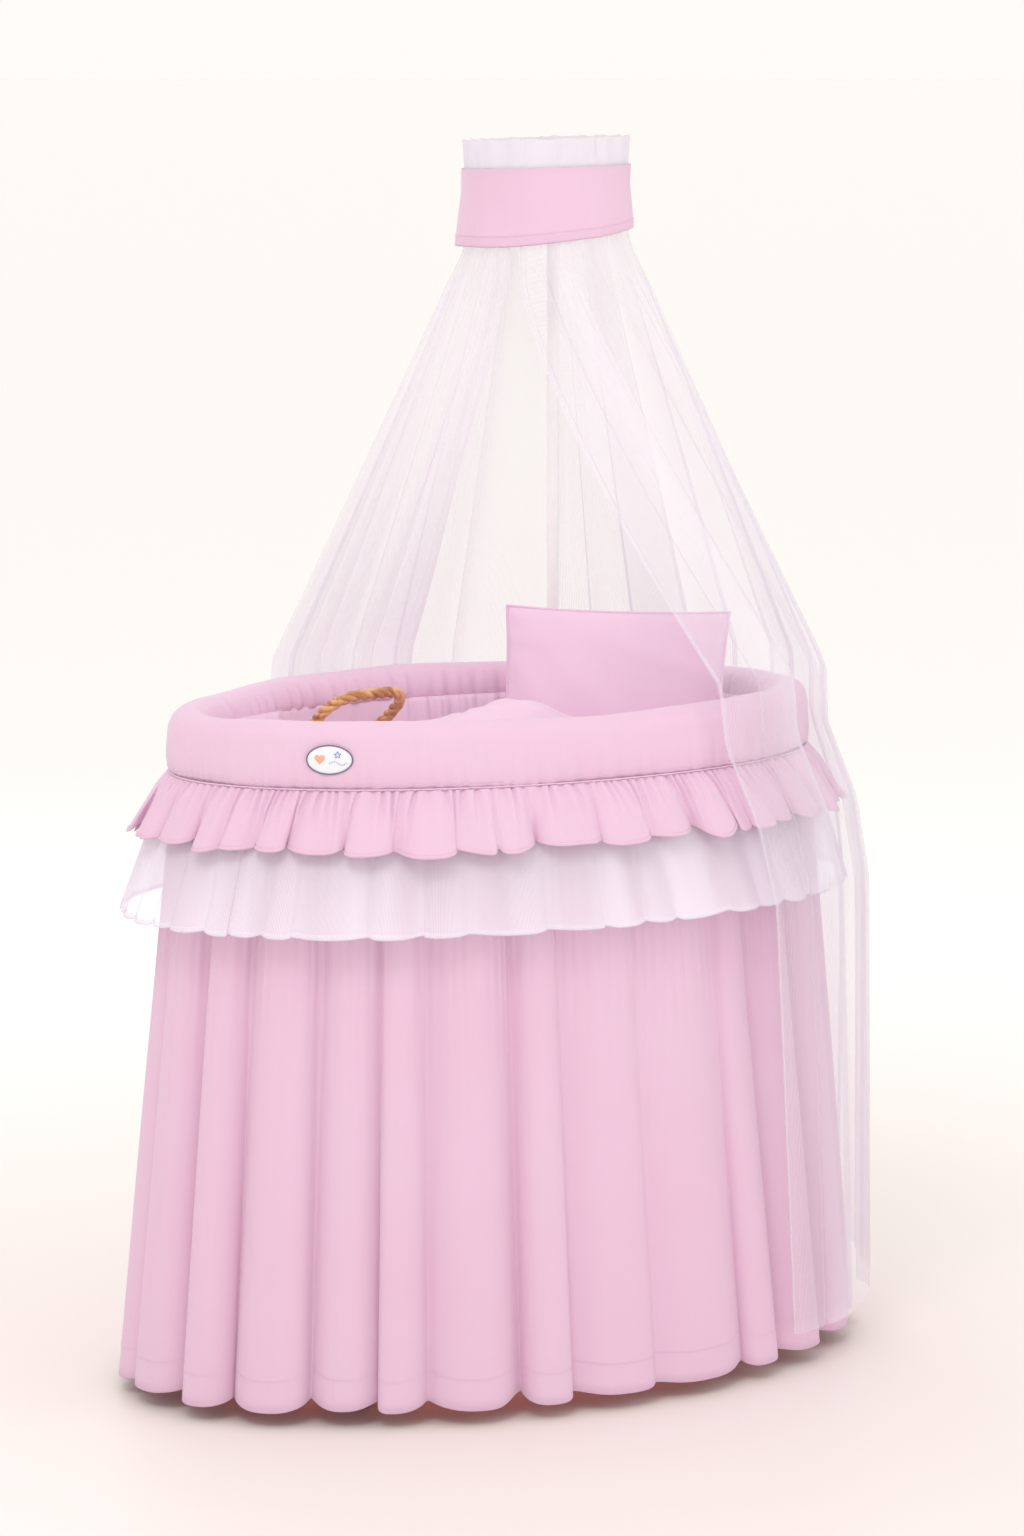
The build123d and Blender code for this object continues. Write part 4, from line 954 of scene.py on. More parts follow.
def gather_lining():
    """Padding inside the wall, gathered under the rim and flatter behind the handles."""
    done = finishes()
    rng = np.random.default_rng(23)
    cols, rows = 760, 44
    low, high = lining_low[2], lining_high[2] + 0.008
    t = even_angles(WALL_A, WALL_B, cols + 1)[:-1]
    gathers = Folds(rng, spread_ridges(rng, -0.1, TAU + 0.1, 0.085, 0.5))
    tucks = Folds(rng, spread_ridges(rng, -0.1, TAU + 0.1, 0.034, 0.5))
    height, _ = gathers.at(t)
    tuck, _ = tucks.at(t)
    # room for the raised handles
    handle_x = JOINTS["handle_raise_near"]["pos_m"][0]
    by_handle = smooth((0.115 - np.abs(WALL_A * np.cos(t) - handle_x)) / 0.03)
    sections = []
    for k in range(rows):
        v = k / (rows - 1)
        z = high + (low - high) * v
        a, b = wall_half(z)
        gather_share = 0.4 + 0.6 * math.exp(-((v - 0.02) / 0.22) ** 2)
        soft = (0.0075 * (height - 0.5) * (1 - 0.3 * gather_share)
                + 0.0034 * (tuck - 0.5) * gather_share)
        puff = 0.006 * math.sin(math.pi * min(1, v * 1.15)) ** 0.8
        sag = 0.003 * ripple(np.random.default_rng(5 + k // 11), t, (7, 11))
        tuck_in = 0.0075 * math.exp(-(v / 0.16) ** 2)
        inset = (BASKET_WALL + LINING_THICK - 0.003 + puff + soft + sag * math.sin(math.pi * v)
                 + tuck_in)
        flat = BASKET_WALL + LINING_THICK - 0.002 + 0.25 * soft
        inset = inset + (np.minimum(flat, inset) - inset) * by_handle * smooth((z - 0.70) / 0.04)
        point, out = oval(a, b, t)
        place = point - out * inset[:, None]
        sections.append(np.column_stack([place, np.full(cols, z)]))
    for z in (low, (low + high) / 2, high):
        a, b = wall_half(z)
        point, _ = oval(a - BASKET_WALL - 0.001, b - BASKET_WALL - 0.001, t)
        sections.append(np.column_stack([point, np.full(cols, z)]))
    points = np.array(sections)
    width, _ = lengths(points)
    uv = (np.linspace(0, width, cols + 1)[:-1], np.linspace(0, 0.47, len(sections)))
    # the lining wears the painted-light copy of the pink cotton
    lining = grid_object("lining", points, uv, done.pink_pad_painted_light, wrap=True, wrap_rows=True)
    close_ends(lining)
    lining.data.shade_smooth()
    belong(lining, "basket", "pink_cotton", "lining_pad")


# ---- ruffles and skirt -----------------------------------------------------
POLE_ANGLE = math.atan2(POLE[1] / RIM_B, POLE[0] / RIM_A)


def slit_angles(cols, a, b, z, slit_foot, slit_half, lap=0.006):
    """Angles round the crib from one side of the pole slit to the other."""
    open_share = smooth((z - slit_foot) / 0.05)
    half = slit_half * open_share - lap * (1 - open_share)
    speed = math.hypot(a * math.sin(POLE_ANGLE), b * math.cos(POLE_ANGLE))
    gap = half / speed
    t = even_angles(a, b, cols, POLE_ANGLE, TAU)
    reach = 0.12
    return (t + gap * np.exp((POLE_ANGLE - t) / reach)
            - gap * np.exp((t - POLE_ANGLE - TAU) / reach))


def hang(levels, z):
    """Half sizes of a hanging cloth's middle surface at a height."""
    heights = [level[0] for level in levels][::-1]
    return tuple(float(np.interp(z, heights, [level[k] for level in levels][::-1]))
                 for k in (1, 2))


def gathered_strip(name, levels, rows, cols, folds, gathers, depth, gather_depth, lean, hem_wave,
                   material, slit_foot, slit_half=0.019, hem_roll=0.004, power=0.8,
                   foot_sweep=0.0, drift=0.5, second=0.0, sway=0.006,
                   gather_reach=0.28):
    """A strip gathered along its top edge that falls into wider folds at its hem."""
    top, foot = levels[0][0], levels[-1][0]
    sections = []
    shares = np.linspace(0, 1, rows) ** 0.85
    seam_a, seam_b = levels[0][1:]
    key = even_angles(seam_a, seam_b, cols, POLE_ANGLE, TAU)
    small, _ = gathers.at(key)
    sizes = folds.widths(key)
    wander = 0.35 * (sizes.mean() / 2) * ripple(np.random.default_rng(len(name)), key, (4, 7, 11))
    height_scale = np.clip(sizes / sizes.mean(), 0.5, 1.6)
    foot_end = np.clip(-np.cos(key), 0, 1) ** 2
    swing = ripple(np.random.default_rng(7), key, (29, 37, 53, 71))
    side = ripple(np.random.default_rng(17), key, (7, 13, 19, 27))
    for v in shares:
        z = top + (foot - top) * v
        a, b = hang(levels, z)
        height, phase = folds.at(key + wander * (v - 0.5) * drift)
        t = slit_angles(cols, a, b, z, slit_foot, slit_half)
        point, out = oval(a, b, t)
        sideways = np.column_stack([-out[:, 1], out[:, 0]])
        grown = depth * v ** power
        fading = gather_depth * math.exp(-((v / gather_reach) ** 2))
        push = grown * height_scale * (height - 0.5) + fading * (small - 0.5)
        push = push + foot_sweep * v * foot_end + second * v * swing
        shift = (lean * v ** 0.6 * height_scale) * np.sin(TAU * phase)
        shift = shift + sway * v * side * (height - 0.5)
        place = point + out * push[:, None] + sideways * shift[:, None]
        level = z + hem_wave * v ** 2 * (0.5 - height)
        sections.append(np.column_stack([place, level]))
    last = sections[-1]
    a, b = hang(levels, foot)
    _, out = oval(a, b, slit_angles(cols, a, b, foot, slit_foot, slit_half))
    for inward, up in ((0.0009, -0.0007), (0.0018, 0.0), (0.0018, hem_roll)):
        turned = last.copy()
        turned[:, :2] -= out * inward
        turned[:, 2] += up
        sections.append(turned)
    return cloth(name, np.array(sections), material)


SKIRT_COLS = 1500
# ridge places at the near side of the skirt, degrees round the oval
SKIRT_RIDGES = (-177, -160.5, -146, -133, -125, -112, -101, -88, -75, -63, -49, -33, -15, 4)


def round_the_crib(rng, given, spacing, start, turn=TAU):
    """Ridge angles that follow the given ones where there are any, and are seeded elsewhere."""
    given = [math.radians(g) for g in given]
    given = sorted(g if g > start else g + TAU for g in given)
    before = spread_ridges(rng, start - 0.02, given[0], spacing)[:-1]
    after = spread_ridges(rng, given[-1], start + turn + 0.02, spacing)[1:]
    return np.concatenate([before, given, after])


def ridges_round(rng, spacing, jitter):
    """Ridge angles from one side of the pole round to the other."""
    return spread_ridges(rng, POLE_ANGLE - 0.05, POLE_ANGLE + TAU + 0.05, spacing, jitter)


def dress_basket(cloths):
    """The short cotton ruffle, the long tulle one and the skirt with its hem stitches."""
    done = finishes()
    cotton_low, cotton_high = span("cotton_ruffle")
    tulle_low, tulle_high = span("tulle_ruffle")
    seam = cotton_high[2]
    flare_a, flare_b = cotton_high[0], cotton_high[1]
    rng = np.random.default_rng(31)

    folds = Folds(rng, ridges_round(rng, 0.125, 0.65),
                  low=(0.0, 0.5), high=(0.55, 1.1), fullness=1.1)
    gathers = Folds(rng, ridges_round(rng, 0.036, 0.5))
    levels = [(seam + 0.001, RIM_A - 0.001, RIM_B - 0.001),
              (seam - 0.018, RIM_A + 0.015, RIM_B + 0.015),
              (cotton_low[2], flare_a + 0.001, flare_b + 0.001)]
    ruffle = gathered_strip("cotton_ruffle_frill", levels, 26, 1900, folds, gathers, 0.027, 0.008,
                            0.0065, 0.012, done.pink, 0.0, power=1.0, second=0.007, sway=0.022,
                            gather_reach=0.5)
    belong(ruffle, "basket", "pink_cotton", "cotton_ruffle")

    rng = np.random.default_rng(37)
    folds = Folds(rng, ridges_round(rng, 0.150, 0.5),
                  fullness=1.2)
    gathers = Folds(rng, ridges_round(rng, 0.026, 0.4))
    levels = [(seam, RIM_A - 0.0045, RIM_B - 0.0045), (seam - 0.025, RIM_A + 0.008, RIM_B + 0.008),
              (tulle_low[2], tulle_high[0] - 0.002, tulle_high[1] - 0.002)]
    tulle = gathered_strip("tulle_ruffle_frill", levels, 44, 1700, folds, gathers, 0.010, 0.003,
                           0.005, 0.004, done.tulle, 0.0, hem_roll=0.006, foot_sweep=0.010,
                           sway=0.006)
    belong(tulle, "basket", "white_tulle", "tulle_ruffle")

    rng = np.random.default_rng(41)
    ridges = round_the_crib(rng, SKIRT_RIDGES, 0.21, POLE_ANGLE)
    folds = Folds(rng, ridges, low=(0.0, 0.55), high=(0.72, 1.05), fullness=1.2)
    gathers = Folds(rng, ridges_round(rng, 0.035, 0.4))
    top_a, top_b = RIM_A - 0.011, RIM_B - 0.011
    levels = [(seam, top_a, top_b), (skirt_low[2], skirt_high[0] - 0.005, skirt_high[1] - 0.005)]
    skirt = gathered_strip("skirt_cloth", levels, 52, SKIRT_COLS, folds, gathers,
                           cloths.skirt_fold_depth, 0.006, 0.010, 0.012, done.pink,
                           skirt_low[2] + 0.235, power=0.36, foot_sweep=0.018, sway=0.010)
    belong(skirt, "basket", "pink_cotton", "skirt")
    # hem stitches follow a row of the skirt just over the hem
    hem = np.array([v.co[:] for v in skirt.data.vertices], float).reshape(-1, SKIRT_COLS, 3)[-7]
    hem[:, :2] *= 1 + 0.0008 / np.linalg.norm(hem[:, :2], axis=1)[:, None]
    hem_line = stitches("skirt_hem_stitches", [hem], 0.0045, 0.003, 0.0003, done.thread)
    belong(hem_line, "basket", "pink_cotton")


# ---- bedding ---------------------------------------------------------------
def oval_pad(name, levels, material, rows, cols, rng, wrinkle):
    """A soft closed oval pad through (height, half length, half width)."""
    levels = np.array(levels, float)
    run = np.concatenate([[0], np.cumsum(np.linalg.norm(np.diff(levels, axis=0), axis=1))])
    dense = np.linspace(0, run[-1], rows)
    z = np.interp(dense, run, levels[:, 0])
    a = np.interp(dense, run, levels[:, 1])
    b = np.interp(dense, run, levels[:, 2])
    kernel = np.array([1, 4, 6, 4, 1]) / 16
    for values in (z, a, b):
        padded_values = np.pad(values, 2, mode="edge")
        values[1:-1] = np.convolve(padded_values, kernel, "valid")[1:-1]
    t = np.linspace(0, TAU, cols + 1)[:-1]
    wander = ripple(rng, t, (2, 3, 5, 8))
    fine = ripple(rng, t, (13, 17, 23, 31))
    sections = []
    for k in range(rows):
        share = k / (rows - 1)
        soft = wrinkle * (wander * 0.8 + fine * 0.5 * math.sin(math.pi * share))
        soft = soft * smooth(a[k] / 0.08)
        point, out = oval(a[k], b[k], t)
        place = point + out * soft[:, None]
        level = z[k] + wrinkle * 0.5 * ripple(rng, t, (3, 4)) * smooth(share * 1.5 - 0.5) * 0.4
        sections.append(np.column_stack([place, level]))
    points = np.array(sections[::-1])
    width, height = lengths(points)
    uv = (np.linspace(0, width, cols + 1)[:-1], np.linspace(0, height, rows))
    return grid_object(name, points, uv, material, wrap=True, cap=True)


def make_bed():
    """The mattress with two piped edges, then the duvet and the pillow."""
    done = finishes()
    rng = np.random.default_rng(53)
    low, high = mattress_low[2], mattress_high[2]
    a, b = mattress_high[0], mattress_high[1]
    mattress = oval_pad("mattress_pad", [
        (low, 0.01, 0.006), (low, a - 0.016, b - 0.016), (low + 0.004, a - 0.008, b - 0.008),
        (low + 0.012, a - 0.004, b - 0.004), (high - 0.012, a - 0.002, b - 0.002),
        (high - 0.004, a - 0.008, b - 0.008), (high - 0.001, a - 0.02, b - 0.02),
        (high, a - 0.06, b - 0.05), (high, 0.01, 0.006)], done.white, 60, 240, rng, 0.0008)
    belong(mattress, "basket", "white_cotton", "mattress")
    for level, tag in ((low + 0.011, "low"), (high - 0.011, "high")):
        edge, _ = oval(a - 0.001, b - 0.001, even_angles(a, b, 241)[:-1])
        line = np.column_stack([edge, np.full(len(edge), level)])
        piping = strands(f"mattress_piping_{tag}", [line], 0.0019, done.white, sides=8, closed=True)
        belong(piping, "basket", "white_cotton")
    make_duvet(done)
    make_pillow(done)


TURNED_BACK = -0.075    # the pink side shows beyond this line, measured away from the viewer


def make_duvet(done):
    """A puffed cover whose head end is turned back to show its pink side."""
    low, high = span("duvet")
    centre = (low + high) / 2
    half_a, half_b = (high[0] - low[0]) / 2, (high[1] - low[1]) / 2
    crown = high[2] + 0.022
    rng = np.random.default_rng(61)
    cols, rows = 260, 200
    u = np.linspace(-1, 1, cols)
    v = np.linspace(-1, 1, rows)
    uu, vv = np.meshgrid(u, v)
    # a square grid bent to an oval
    x = uu * np.sqrt(1 - 0.5 * vv ** 2)
    y = vv * np.sqrt(1 - 0.5 * uu ** 2)
    radius = np.clip(np.sqrt(x ** 2 + y ** 2), 0, 1)
    dome = np.sqrt(np.clip(1 - radius ** 2.6, 0, 1))
    hill = 0.46 + 0.54 * np.exp(-(((x - 0.30) * 1.3) ** 2 + ((y + 0.05) * 1.2) ** 2))
    puff = np.zeros_like(x)
    for sx in np.linspace(-0.72, 0.72, 4):
        for sy in (-0.42, 0.42):
            puff += np.exp(-(((x - sx) / 0.20) ** 2 + ((y - sy) / 0.33) ** 2))
    wrinkles = np.zeros_like(x)
    for _ in range(26):
        angle = rng.uniform(0, math.pi)
        frequency = rng.uniform(5, 16)
        line = x * math.cos(angle) + y * math.sin(angle)
        spot = np.exp(-(((x - rng.uniform(-0.8, 0.8)) / 0.3) ** 2
                        + ((y - rng.uniform(-0.8, 0.8)) / 0.3) ** 2))
        wrinkles += spot * np.sin(frequency * line * 2 + rng.uniform(0, TAU))
    bottom = BED_TOP + 0.0015
    thick = crown - bottom
    edge = 0.34     # height of the outer part as a share of the crown's
    top = bottom + thick * (edge * dome + (1 - edge) * dome * hill * (0.84 + 0.16 * puff))
    top += (0.0030 * wrinkles + 0.003 * puff) * dome
    top = bottom + (top - bottom) * (crown - bottom) / max(1e-6, float((top - bottom).max()))
    grid_top = np.stack([centre[0] + x * half_a, centre[1] + y * half_b, top], -1)
    under = bottom + 0.002 * (1 - dome)
    grid_low = np.stack([centre[0] + x * half_a, centre[1] + y * half_b, under], -1)
    # keep clear of the pillow that leans behind it
    for points in (grid_top, grid_low):
        keep_before_pillow(points)
    top_face = grid_object("duvet_top", grid_top[::-1], (u * half_a, v * half_b), done.white)
    # the duvet's pink side wears the painted-light copy of the pink cotton
    low_face = grid_object("duvet_low", grid_low, (u * half_a, v * half_b), done.pink_pad_painted_light)
    top_face.data.materials.append(done.pink_pad_painted_light)
    for face in top_face.data.polygons:
        if VIEW_FAR[0] * face.center.x + VIEW_FAR[1] * face.center.y > TURNED_BACK:
            face.material_index = 1
    sew_together(top_face, low_face, "duvet_cover", 0.0006)
    belong(top_face, "basket", "white_cotton", "duvet")
    ring = np.array([(centre[0] + half_a * math.cos(angle), centre[1] + half_b * math.sin(angle),
                      bottom + 0.004) for angle in TAU * np.arange(240) / 240])
    keep_before_pillow(ring)
    piping = strands("duvet_piping", [ring], 0.0026, done.pink, sides=8, closed=True)
    belong(piping, "basket", "pink_cotton")


PILLOW_TURN = math.radians(-43)         # its back to the far corner of the head end
PILLOW_LEAN = math.radians(12)          # back from upright
PILLOW_SIZE = (0.290, 0.280, 0.044)     # width, height, thickness
PILLOW_RISE = 0.012                     # its foot over the mattress


def pillow_frame():
    """Foot, sideways, upward and backward directions of the standing pillow."""
    low, high = span("pillow")
    side = np.array([math.cos(PILLOW_TURN), math.sin(PILLOW_TURN), 0.0])
    back = np.array([-side[1], side[0], 0.0])
    up = np.array([0, 0, 1.0]) * math.cos(PILLOW_LEAN) + back * math.sin(PILLOW_LEAN)
    behind = np.cross(up, side) * -1
    if behind @ back < 0:
        behind = -behind
    centre = (low + high) / 2
    foot = centre - up * (PILLOW_RISE + PILLOW_SIZE[1] / 2)
    return foot, side, up, behind


def keep_before_pillow(points):
    """Moves points that would pass the pillow's front face back in front of it."""
    foot, _, _, behind = pillow_frame()
    face = foot - behind * (PILLOW_SIZE[2] / 2 + 0.004)
    past = (points - face) @ behind
    hit = past > 0
    flat = behind.copy()
    flat[2] = 0
    flat /= np.linalg.norm(flat)
    amount = past[hit] / (behind @ flat)
    points[hit] -= amount[:, None] * flat


# soft creases over the pillow: slope, offset, half width and height of each
PILLOW_CREASES = ((1.1, 0.0, 0.16, 1.1), (1.5, -0.9, 0.12, 0.8), (0.4, 0.75, 0.10, 0.6),
                  (-0.5, -0.6, 0.10, 0.5))


def make_pillow(done):
    """A plump square pillow with soft creases and a piped edge."""
    foot, side, up, behind = pillow_frame()
    width, height, thick = PILLOW_SIZE
    rng = np.random.default_rng(67)
    count = 150
    u = np.linspace(-1, 1, count)
    uu, vv = np.meshgrid(u, u)
    # rounded square outline
    x = uu * (1 - 0.045 * (1 - np.abs(vv) ** 2.5))
    y = vv * (1 - 0.035 * (1 - np.abs(uu) ** 2.5))
    swell = (1 - np.abs(uu) ** 3.2) ** 0.62 * (1 - np.abs(vv) ** 3.2) ** 0.62
    gather = np.zeros_like(uu)
    for edge, along in ((np.abs(uu), vv), (np.abs(vv), uu)):
        near = np.exp(-((1 - edge) / 0.17) ** 2)
        gather += near * np.sin(along * 21 + 1.5 * np.sin(along * 7 + 1)) * (1 - edge ** 8)
    dents = np.zeros_like(uu)
    for _ in range(9):
        cx, cy, reach = rng.uniform(-0.7, 0.7), rng.uniform(-0.7, 0.7), rng.uniform(0.25, 0.5)
        dents += rng.uniform(-1, 1) * np.exp(-((uu - cx) ** 2 + (vv - cy) ** 2) / reach ** 2)
    for slope, offset, width_of, height_of in PILLOW_CREASES:
        off_line = (vv + slope * uu - offset) / math.hypot(1, slope)
        dents += height_of * np.exp(-(off_line / width_of) ** 2)
    relief = swell * (1 + 0.14 * dents) + 0.06 * gather * (swell > 0)
    relief = np.clip(relief / relief.max(), 0, 1)
    faces = []
    for sign in (-1, 1):
        depth = sign * thick / 2 * relief
        place = (foot + (x * width / 2)[..., None] * side
                 + (PILLOW_RISE + (y + 1) * height / 2)[..., None] * up
                 + depth[..., None] * behind)
        faces.append(place)
    uv = (u * width / 2, u * height / 2)
    # the pillow wears the painted-light copy of the pink cotton
    front = grid_object("pillow_front", faces[0], uv, done.pink_pad_painted_light)
    rear = grid_object("pillow_rear", faces[1], uv, done.pink_pad_painted_light)
    sew_together(front, rear, "pillow_pad", 0.0002)
    belong(front, "basket", "pink_cotton", "pillow")
    edge = faces[0]
    border = [edge[0, i] for i in range(0, count - 1, 3)]
    border += [edge[i, -1] for i in range(0, count - 1, 3)]
    border += [edge[-1, i] for i in range(count - 1, 0, -3)]
    border += [edge[i, 0] for i in range(count - 1, 0, -3)]
    piping = strands("pillow_piping", [border], 0.0020, done.pink, sides=8, closed=True)
    belong(piping, "basket", "pink_cotton")


# ---- canopy ----------------------------------------------------------------
VIEW_SIDE = math.radians(-28)   # the side where the sash sits higher


# share of the drape's width: angle at the ring, at the rim and at the hem (degrees)
DRAPE_MAP = ((0.00, -137, -68, -57), (0.30, -31, 2, 6), (0.56, 62, 62, 62), (0.80, 146, 118, 122),
             (1.00, 217, 88, 92))
# (height, drape out from the rim, share of the way from the rim's angles to the hem's)
DRAPE_LEVELS = ((0.860, 0.007, 0.0), (0.787, 0.009, 0.10), (0.692, 0.045, 0.35),
                (0.591, 0.061, 0.55), (0.0, 0.068, 1.0))


def drape_points(cols, rows, rng):
    """Rows of points of the hanging voile from under the sash to the hem."""
    u = np.linspace(0, 1, cols)
    shares = [m[0] for m in DRAPE_MAP]
    ring_angle = np.radians(np.interp(u, shares, [m[1] for m in DRAPE_MAP]))
    rim_angle = np.radians(np.interp(u, shares, [m[2] for m in DRAPE_MAP]))
    hem_angle = np.radians(np.interp(u, shares, [m[3] for m in DRAPE_MAP]))
    kernel = np.hanning(max(5, cols // 14))
    kernel /= kernel.sum()

    def eased(values):
        wide = np.pad(values, len(kernel) // 2, mode="reflect", reflect_type="odd")
        return np.convolve(wide, kernel, "valid")[:len(values)]

    rim_angle, hem_angle = eased(rim_angle), eased(hem_angle)
    folds = Folds(rng, spread_ridges(rng, -0.01, 1.01, 0.050, 0.6), low=(0.0, 0.4), high=(0.6, 1),
                  fullness=1.2)
    fine = Folds(rng, spread_ridges(rng, -0.01, 1.01, 0.016, 0.5))
    widths = folds.widths(u)
    fold_size = np.clip(widths / widths.mean(), 0.4, 1.7)
    height, phase = folds.at(u)
    small, _ = fine.at(u)
    inner_layer = smooth((u - 0.80) / 0.06)
    ring_radius = SASH_RADIUS - 0.0062
    closed_z = SASH_LOW - 0.050
    rim_z = DRAPE_LEVELS[0][0]
    heights = [level[0] for level in DRAPE_LEVELS][::-1]
    outset = [level[1] for level in DRAPE_LEVELS][::-1]
    blends = [level[2] for level in DRAPE_LEVELS][::-1]
    start_z = np.interp(u, (0, 0.12, 0.3, 0.7, 0.86, 1), (closed_z, SASH_LOW - 0.02, SASH_LOW,
                                                        SASH_LOW, SASH_LOW - 0.02, closed_z))
    ease = np.interp(u, (0, 0.08, 0.2, 0.4, 0.8, 1), (1.36, 1.16, 0.97, 0.93, 1.02, 1.15))
    hem_rise = 0.004 * ripple(rng, u * TAU, (2, 3, 5)) - 0.024 + 0.050 * smooth((u - 0.10) / 0.20)
    top = SASH_TOP - 0.004
    # rows are closest together where the cloth bends most
    heights_down = np.concatenate([np.linspace(0, 0.075, 6),
                                   np.linspace(0.075, 0.43, rows // 2)[1:],
                                   np.linspace(0.43, 1, rows - rows // 2 - 5)[1:]])
    sections = []
    for v in heights_down:
        z = top + (DRAPE_HEM + hem_rise - top) * v
        share = np.clip((start_z - z) / (start_z - rim_z), 0, 1) ** ease
        ring_point, ring_out = oval(ring_radius, ring_radius, ring_angle)
        ring_point = ring_point + np.array([RING_X, RING_Y])
        out_by = np.interp(z, heights, outset)
        lower = np.interp(z, heights, blends)
        angle = rim_angle + (hem_angle - rim_angle) * lower
        crib_point, crib_out = oval(RIM_A, RIM_B, angle)
        layer = 0.010 * (1 - inner_layer) - 0.001 * inner_layer
        pole_gap = np.linalg.norm(crib_point - POLE, axis=1)
        round_pole = 0.024 * np.exp(-(pole_gap / 0.055) ** 2) * (1 - inner_layer)
        round_pole = round_pole * np.clip(1.4 - out_by / 0.04, 0, 1)
        crib_point = crib_point + crib_out * (out_by + layer + round_pole)[:, None]
        centre = ring_point + (crib_point - ring_point) * share[:, None]
        out = ring_out + (crib_out - ring_out) * share[:, None]
        out /= np.linalg.norm(out, axis=1, keepdims=True)
        sideways = np.column_stack([-out[:, 1], out[:, 0]])
        amplitude = 0.0055 + (0.017 - 0.0055) * share ** 0.7
        amplitude = amplitude + 0.006 * lower
        amplitude = amplitude * (1 - 0.72 * inner_layer * smooth(share))
        at_ring = np.exp(-(share / 0.25) ** 2)
        below_sash = 0.06 + 0.94 * smooth((SASH_LOW + 0.002 - z) / 0.07)
        push = amplitude * fold_size * (height - 0.35) + 0.0022 * at_ring * (small - 0.5)
        push = push * below_sash
        push = push + 0.0006 * (small - 0.5) * (1 - at_ring)
        shift = (0.003 + 0.012 * share) * fold_size * np.sin(TAU * phase)
        shift = shift * (1 - 0.6 * inner_layer) * below_sash
        place = centre + out * push[:, None] + sideways * shift[:, None]
        sections.append(np.column_stack([place, z]))
    return np.array(sections)


def hang_canopy():
    """The voile drape with its side hems, the sash band and the header frill."""
    done = finishes()
    rng = np.random.default_rng(71)
    cols = 1150
    points = drape_points(cols, 84, rng)
    drape = cloth("voile_drape", points, done.voile)
    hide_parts("canopy_drape")
    # side hems: the edge of the same cloth turned over and lying on it
    hems = []
    for first, last, tag in ((0, 9, "near"), (cols - 10, cols - 1, "far")):
        edge = points[:, [first, last]]
        across = edge[:, 1] - edge[:, 0]
        off_cloth = np.cross(np.gradient(edge[:, 0], axis=0), across)
        off_cloth /= np.linalg.norm(off_cloth, axis=1, keepdims=True)
        turned = edge + 0.0008 * off_cloth[:, None]
        hems.append(cloth(f"voile_side_hem_{tag}", turned, done.voile))
    # the drape and its side hems are fixed in place where they hang
    for part in (*hems, drape):
        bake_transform(part)

    # sash band round the ring
    rng = np.random.default_rng(73)
    cols = 420
    t = np.linspace(0, TAU, cols + 1)[:-1]
    wave = ripple(rng, t, (9, 13, 17, 22))
    slow = ripple(rng, t, (2, 3, 5))
    sections = []
    profile = ((0.000, 0.0010), (0.006, 0.0006), (0.030, -0.0012), (0.055, -0.0002),
               (0.085, 0.0006), (0.094, 0.0006), (0.0962, 0.0000), (0.0955, -0.0012),
               (0.086, -0.0016))
    for down, bulge in profile:
        share = down / 0.096
        radius = SASH_RADIUS - 0.0045 + 0.0045 * share + bulge
        radius = radius + 0.0011 * wave * share + 0.0010 * slow * math.sin(math.pi * share)
        lean = np.cos(t - VIEW_SIDE)
        radius = radius + 0.0035 * share * np.clip(-lean, 0, 1)
        z = SASH_TOP - 0.003 - down + 0.0012 * slow * share + 0.003 * lean
        z = z + 0.017 * share * bump_at(t, math.degrees(VIEW_SIDE), 62)
        sections.append(np.column_stack([RING_X + radius * np.cos(t), RING_Y + radius * np.sin(t),
                                         z]))
    sash_points = np.array(sections)
    width, drop = lengths(sash_points)
    uv = (np.linspace(0, width, cols + 1)[:-1], np.linspace(0, drop, len(profile)))
    sash = grid_object("sash_ribbon", sash_points, uv, done.pink, wrap=True)
    belong(sash, "root", "pink_cotton", "sash_band")
    line = sash_points[4].copy()
    line[:, 2] += 0.002
    line[:, :2] += np.column_stack([np.cos(t), np.sin(t)]) * 0.0005
    sewn = stitches("sash_stitches", [line], 0.0042, 0.0028, THREAD, done.thread, closed=True)
    belong(sewn, "root", "pink_cotton")

    # header frill above the sash
    rng = np.random.default_rng(79)
    cols = 900
    t = np.linspace(0, TAU, cols + 1)
    folds = Folds(rng, spread_ridges(rng, 0, TAU, 0.30, 0.5), low=(0.2, 0.6), high=(0.7, 1.0))
    height, phase = folds.at(t)
    sections = []
    for v in np.linspace(0, 1, 16):
        z = SASH_TOP - 0.006 + (HEADER_TOP - SASH_TOP + 0.006) * v
        depth = 0.002 + 0.008 * v
        radius = SASH_RADIUS - 0.0075 + depth * (height - 0.62)
        angle = t - 0.02 * v * np.sin(TAU * phase)
        level = z - 0.003 + 0.003 * v * (height - 0.7) + 0.003 * np.cos(angle - VIEW_SIDE)
        sections.append(np.column_stack([RING_X + radius * np.cos(angle),
                                         RING_Y + radius * np.sin(angle), level]))
    frill_points = np.array(sections[::-1])
    frill = cloth("header_frill", frill_points, done.header)
    belong(frill, "root", "white_tulle", "header_ruffle")


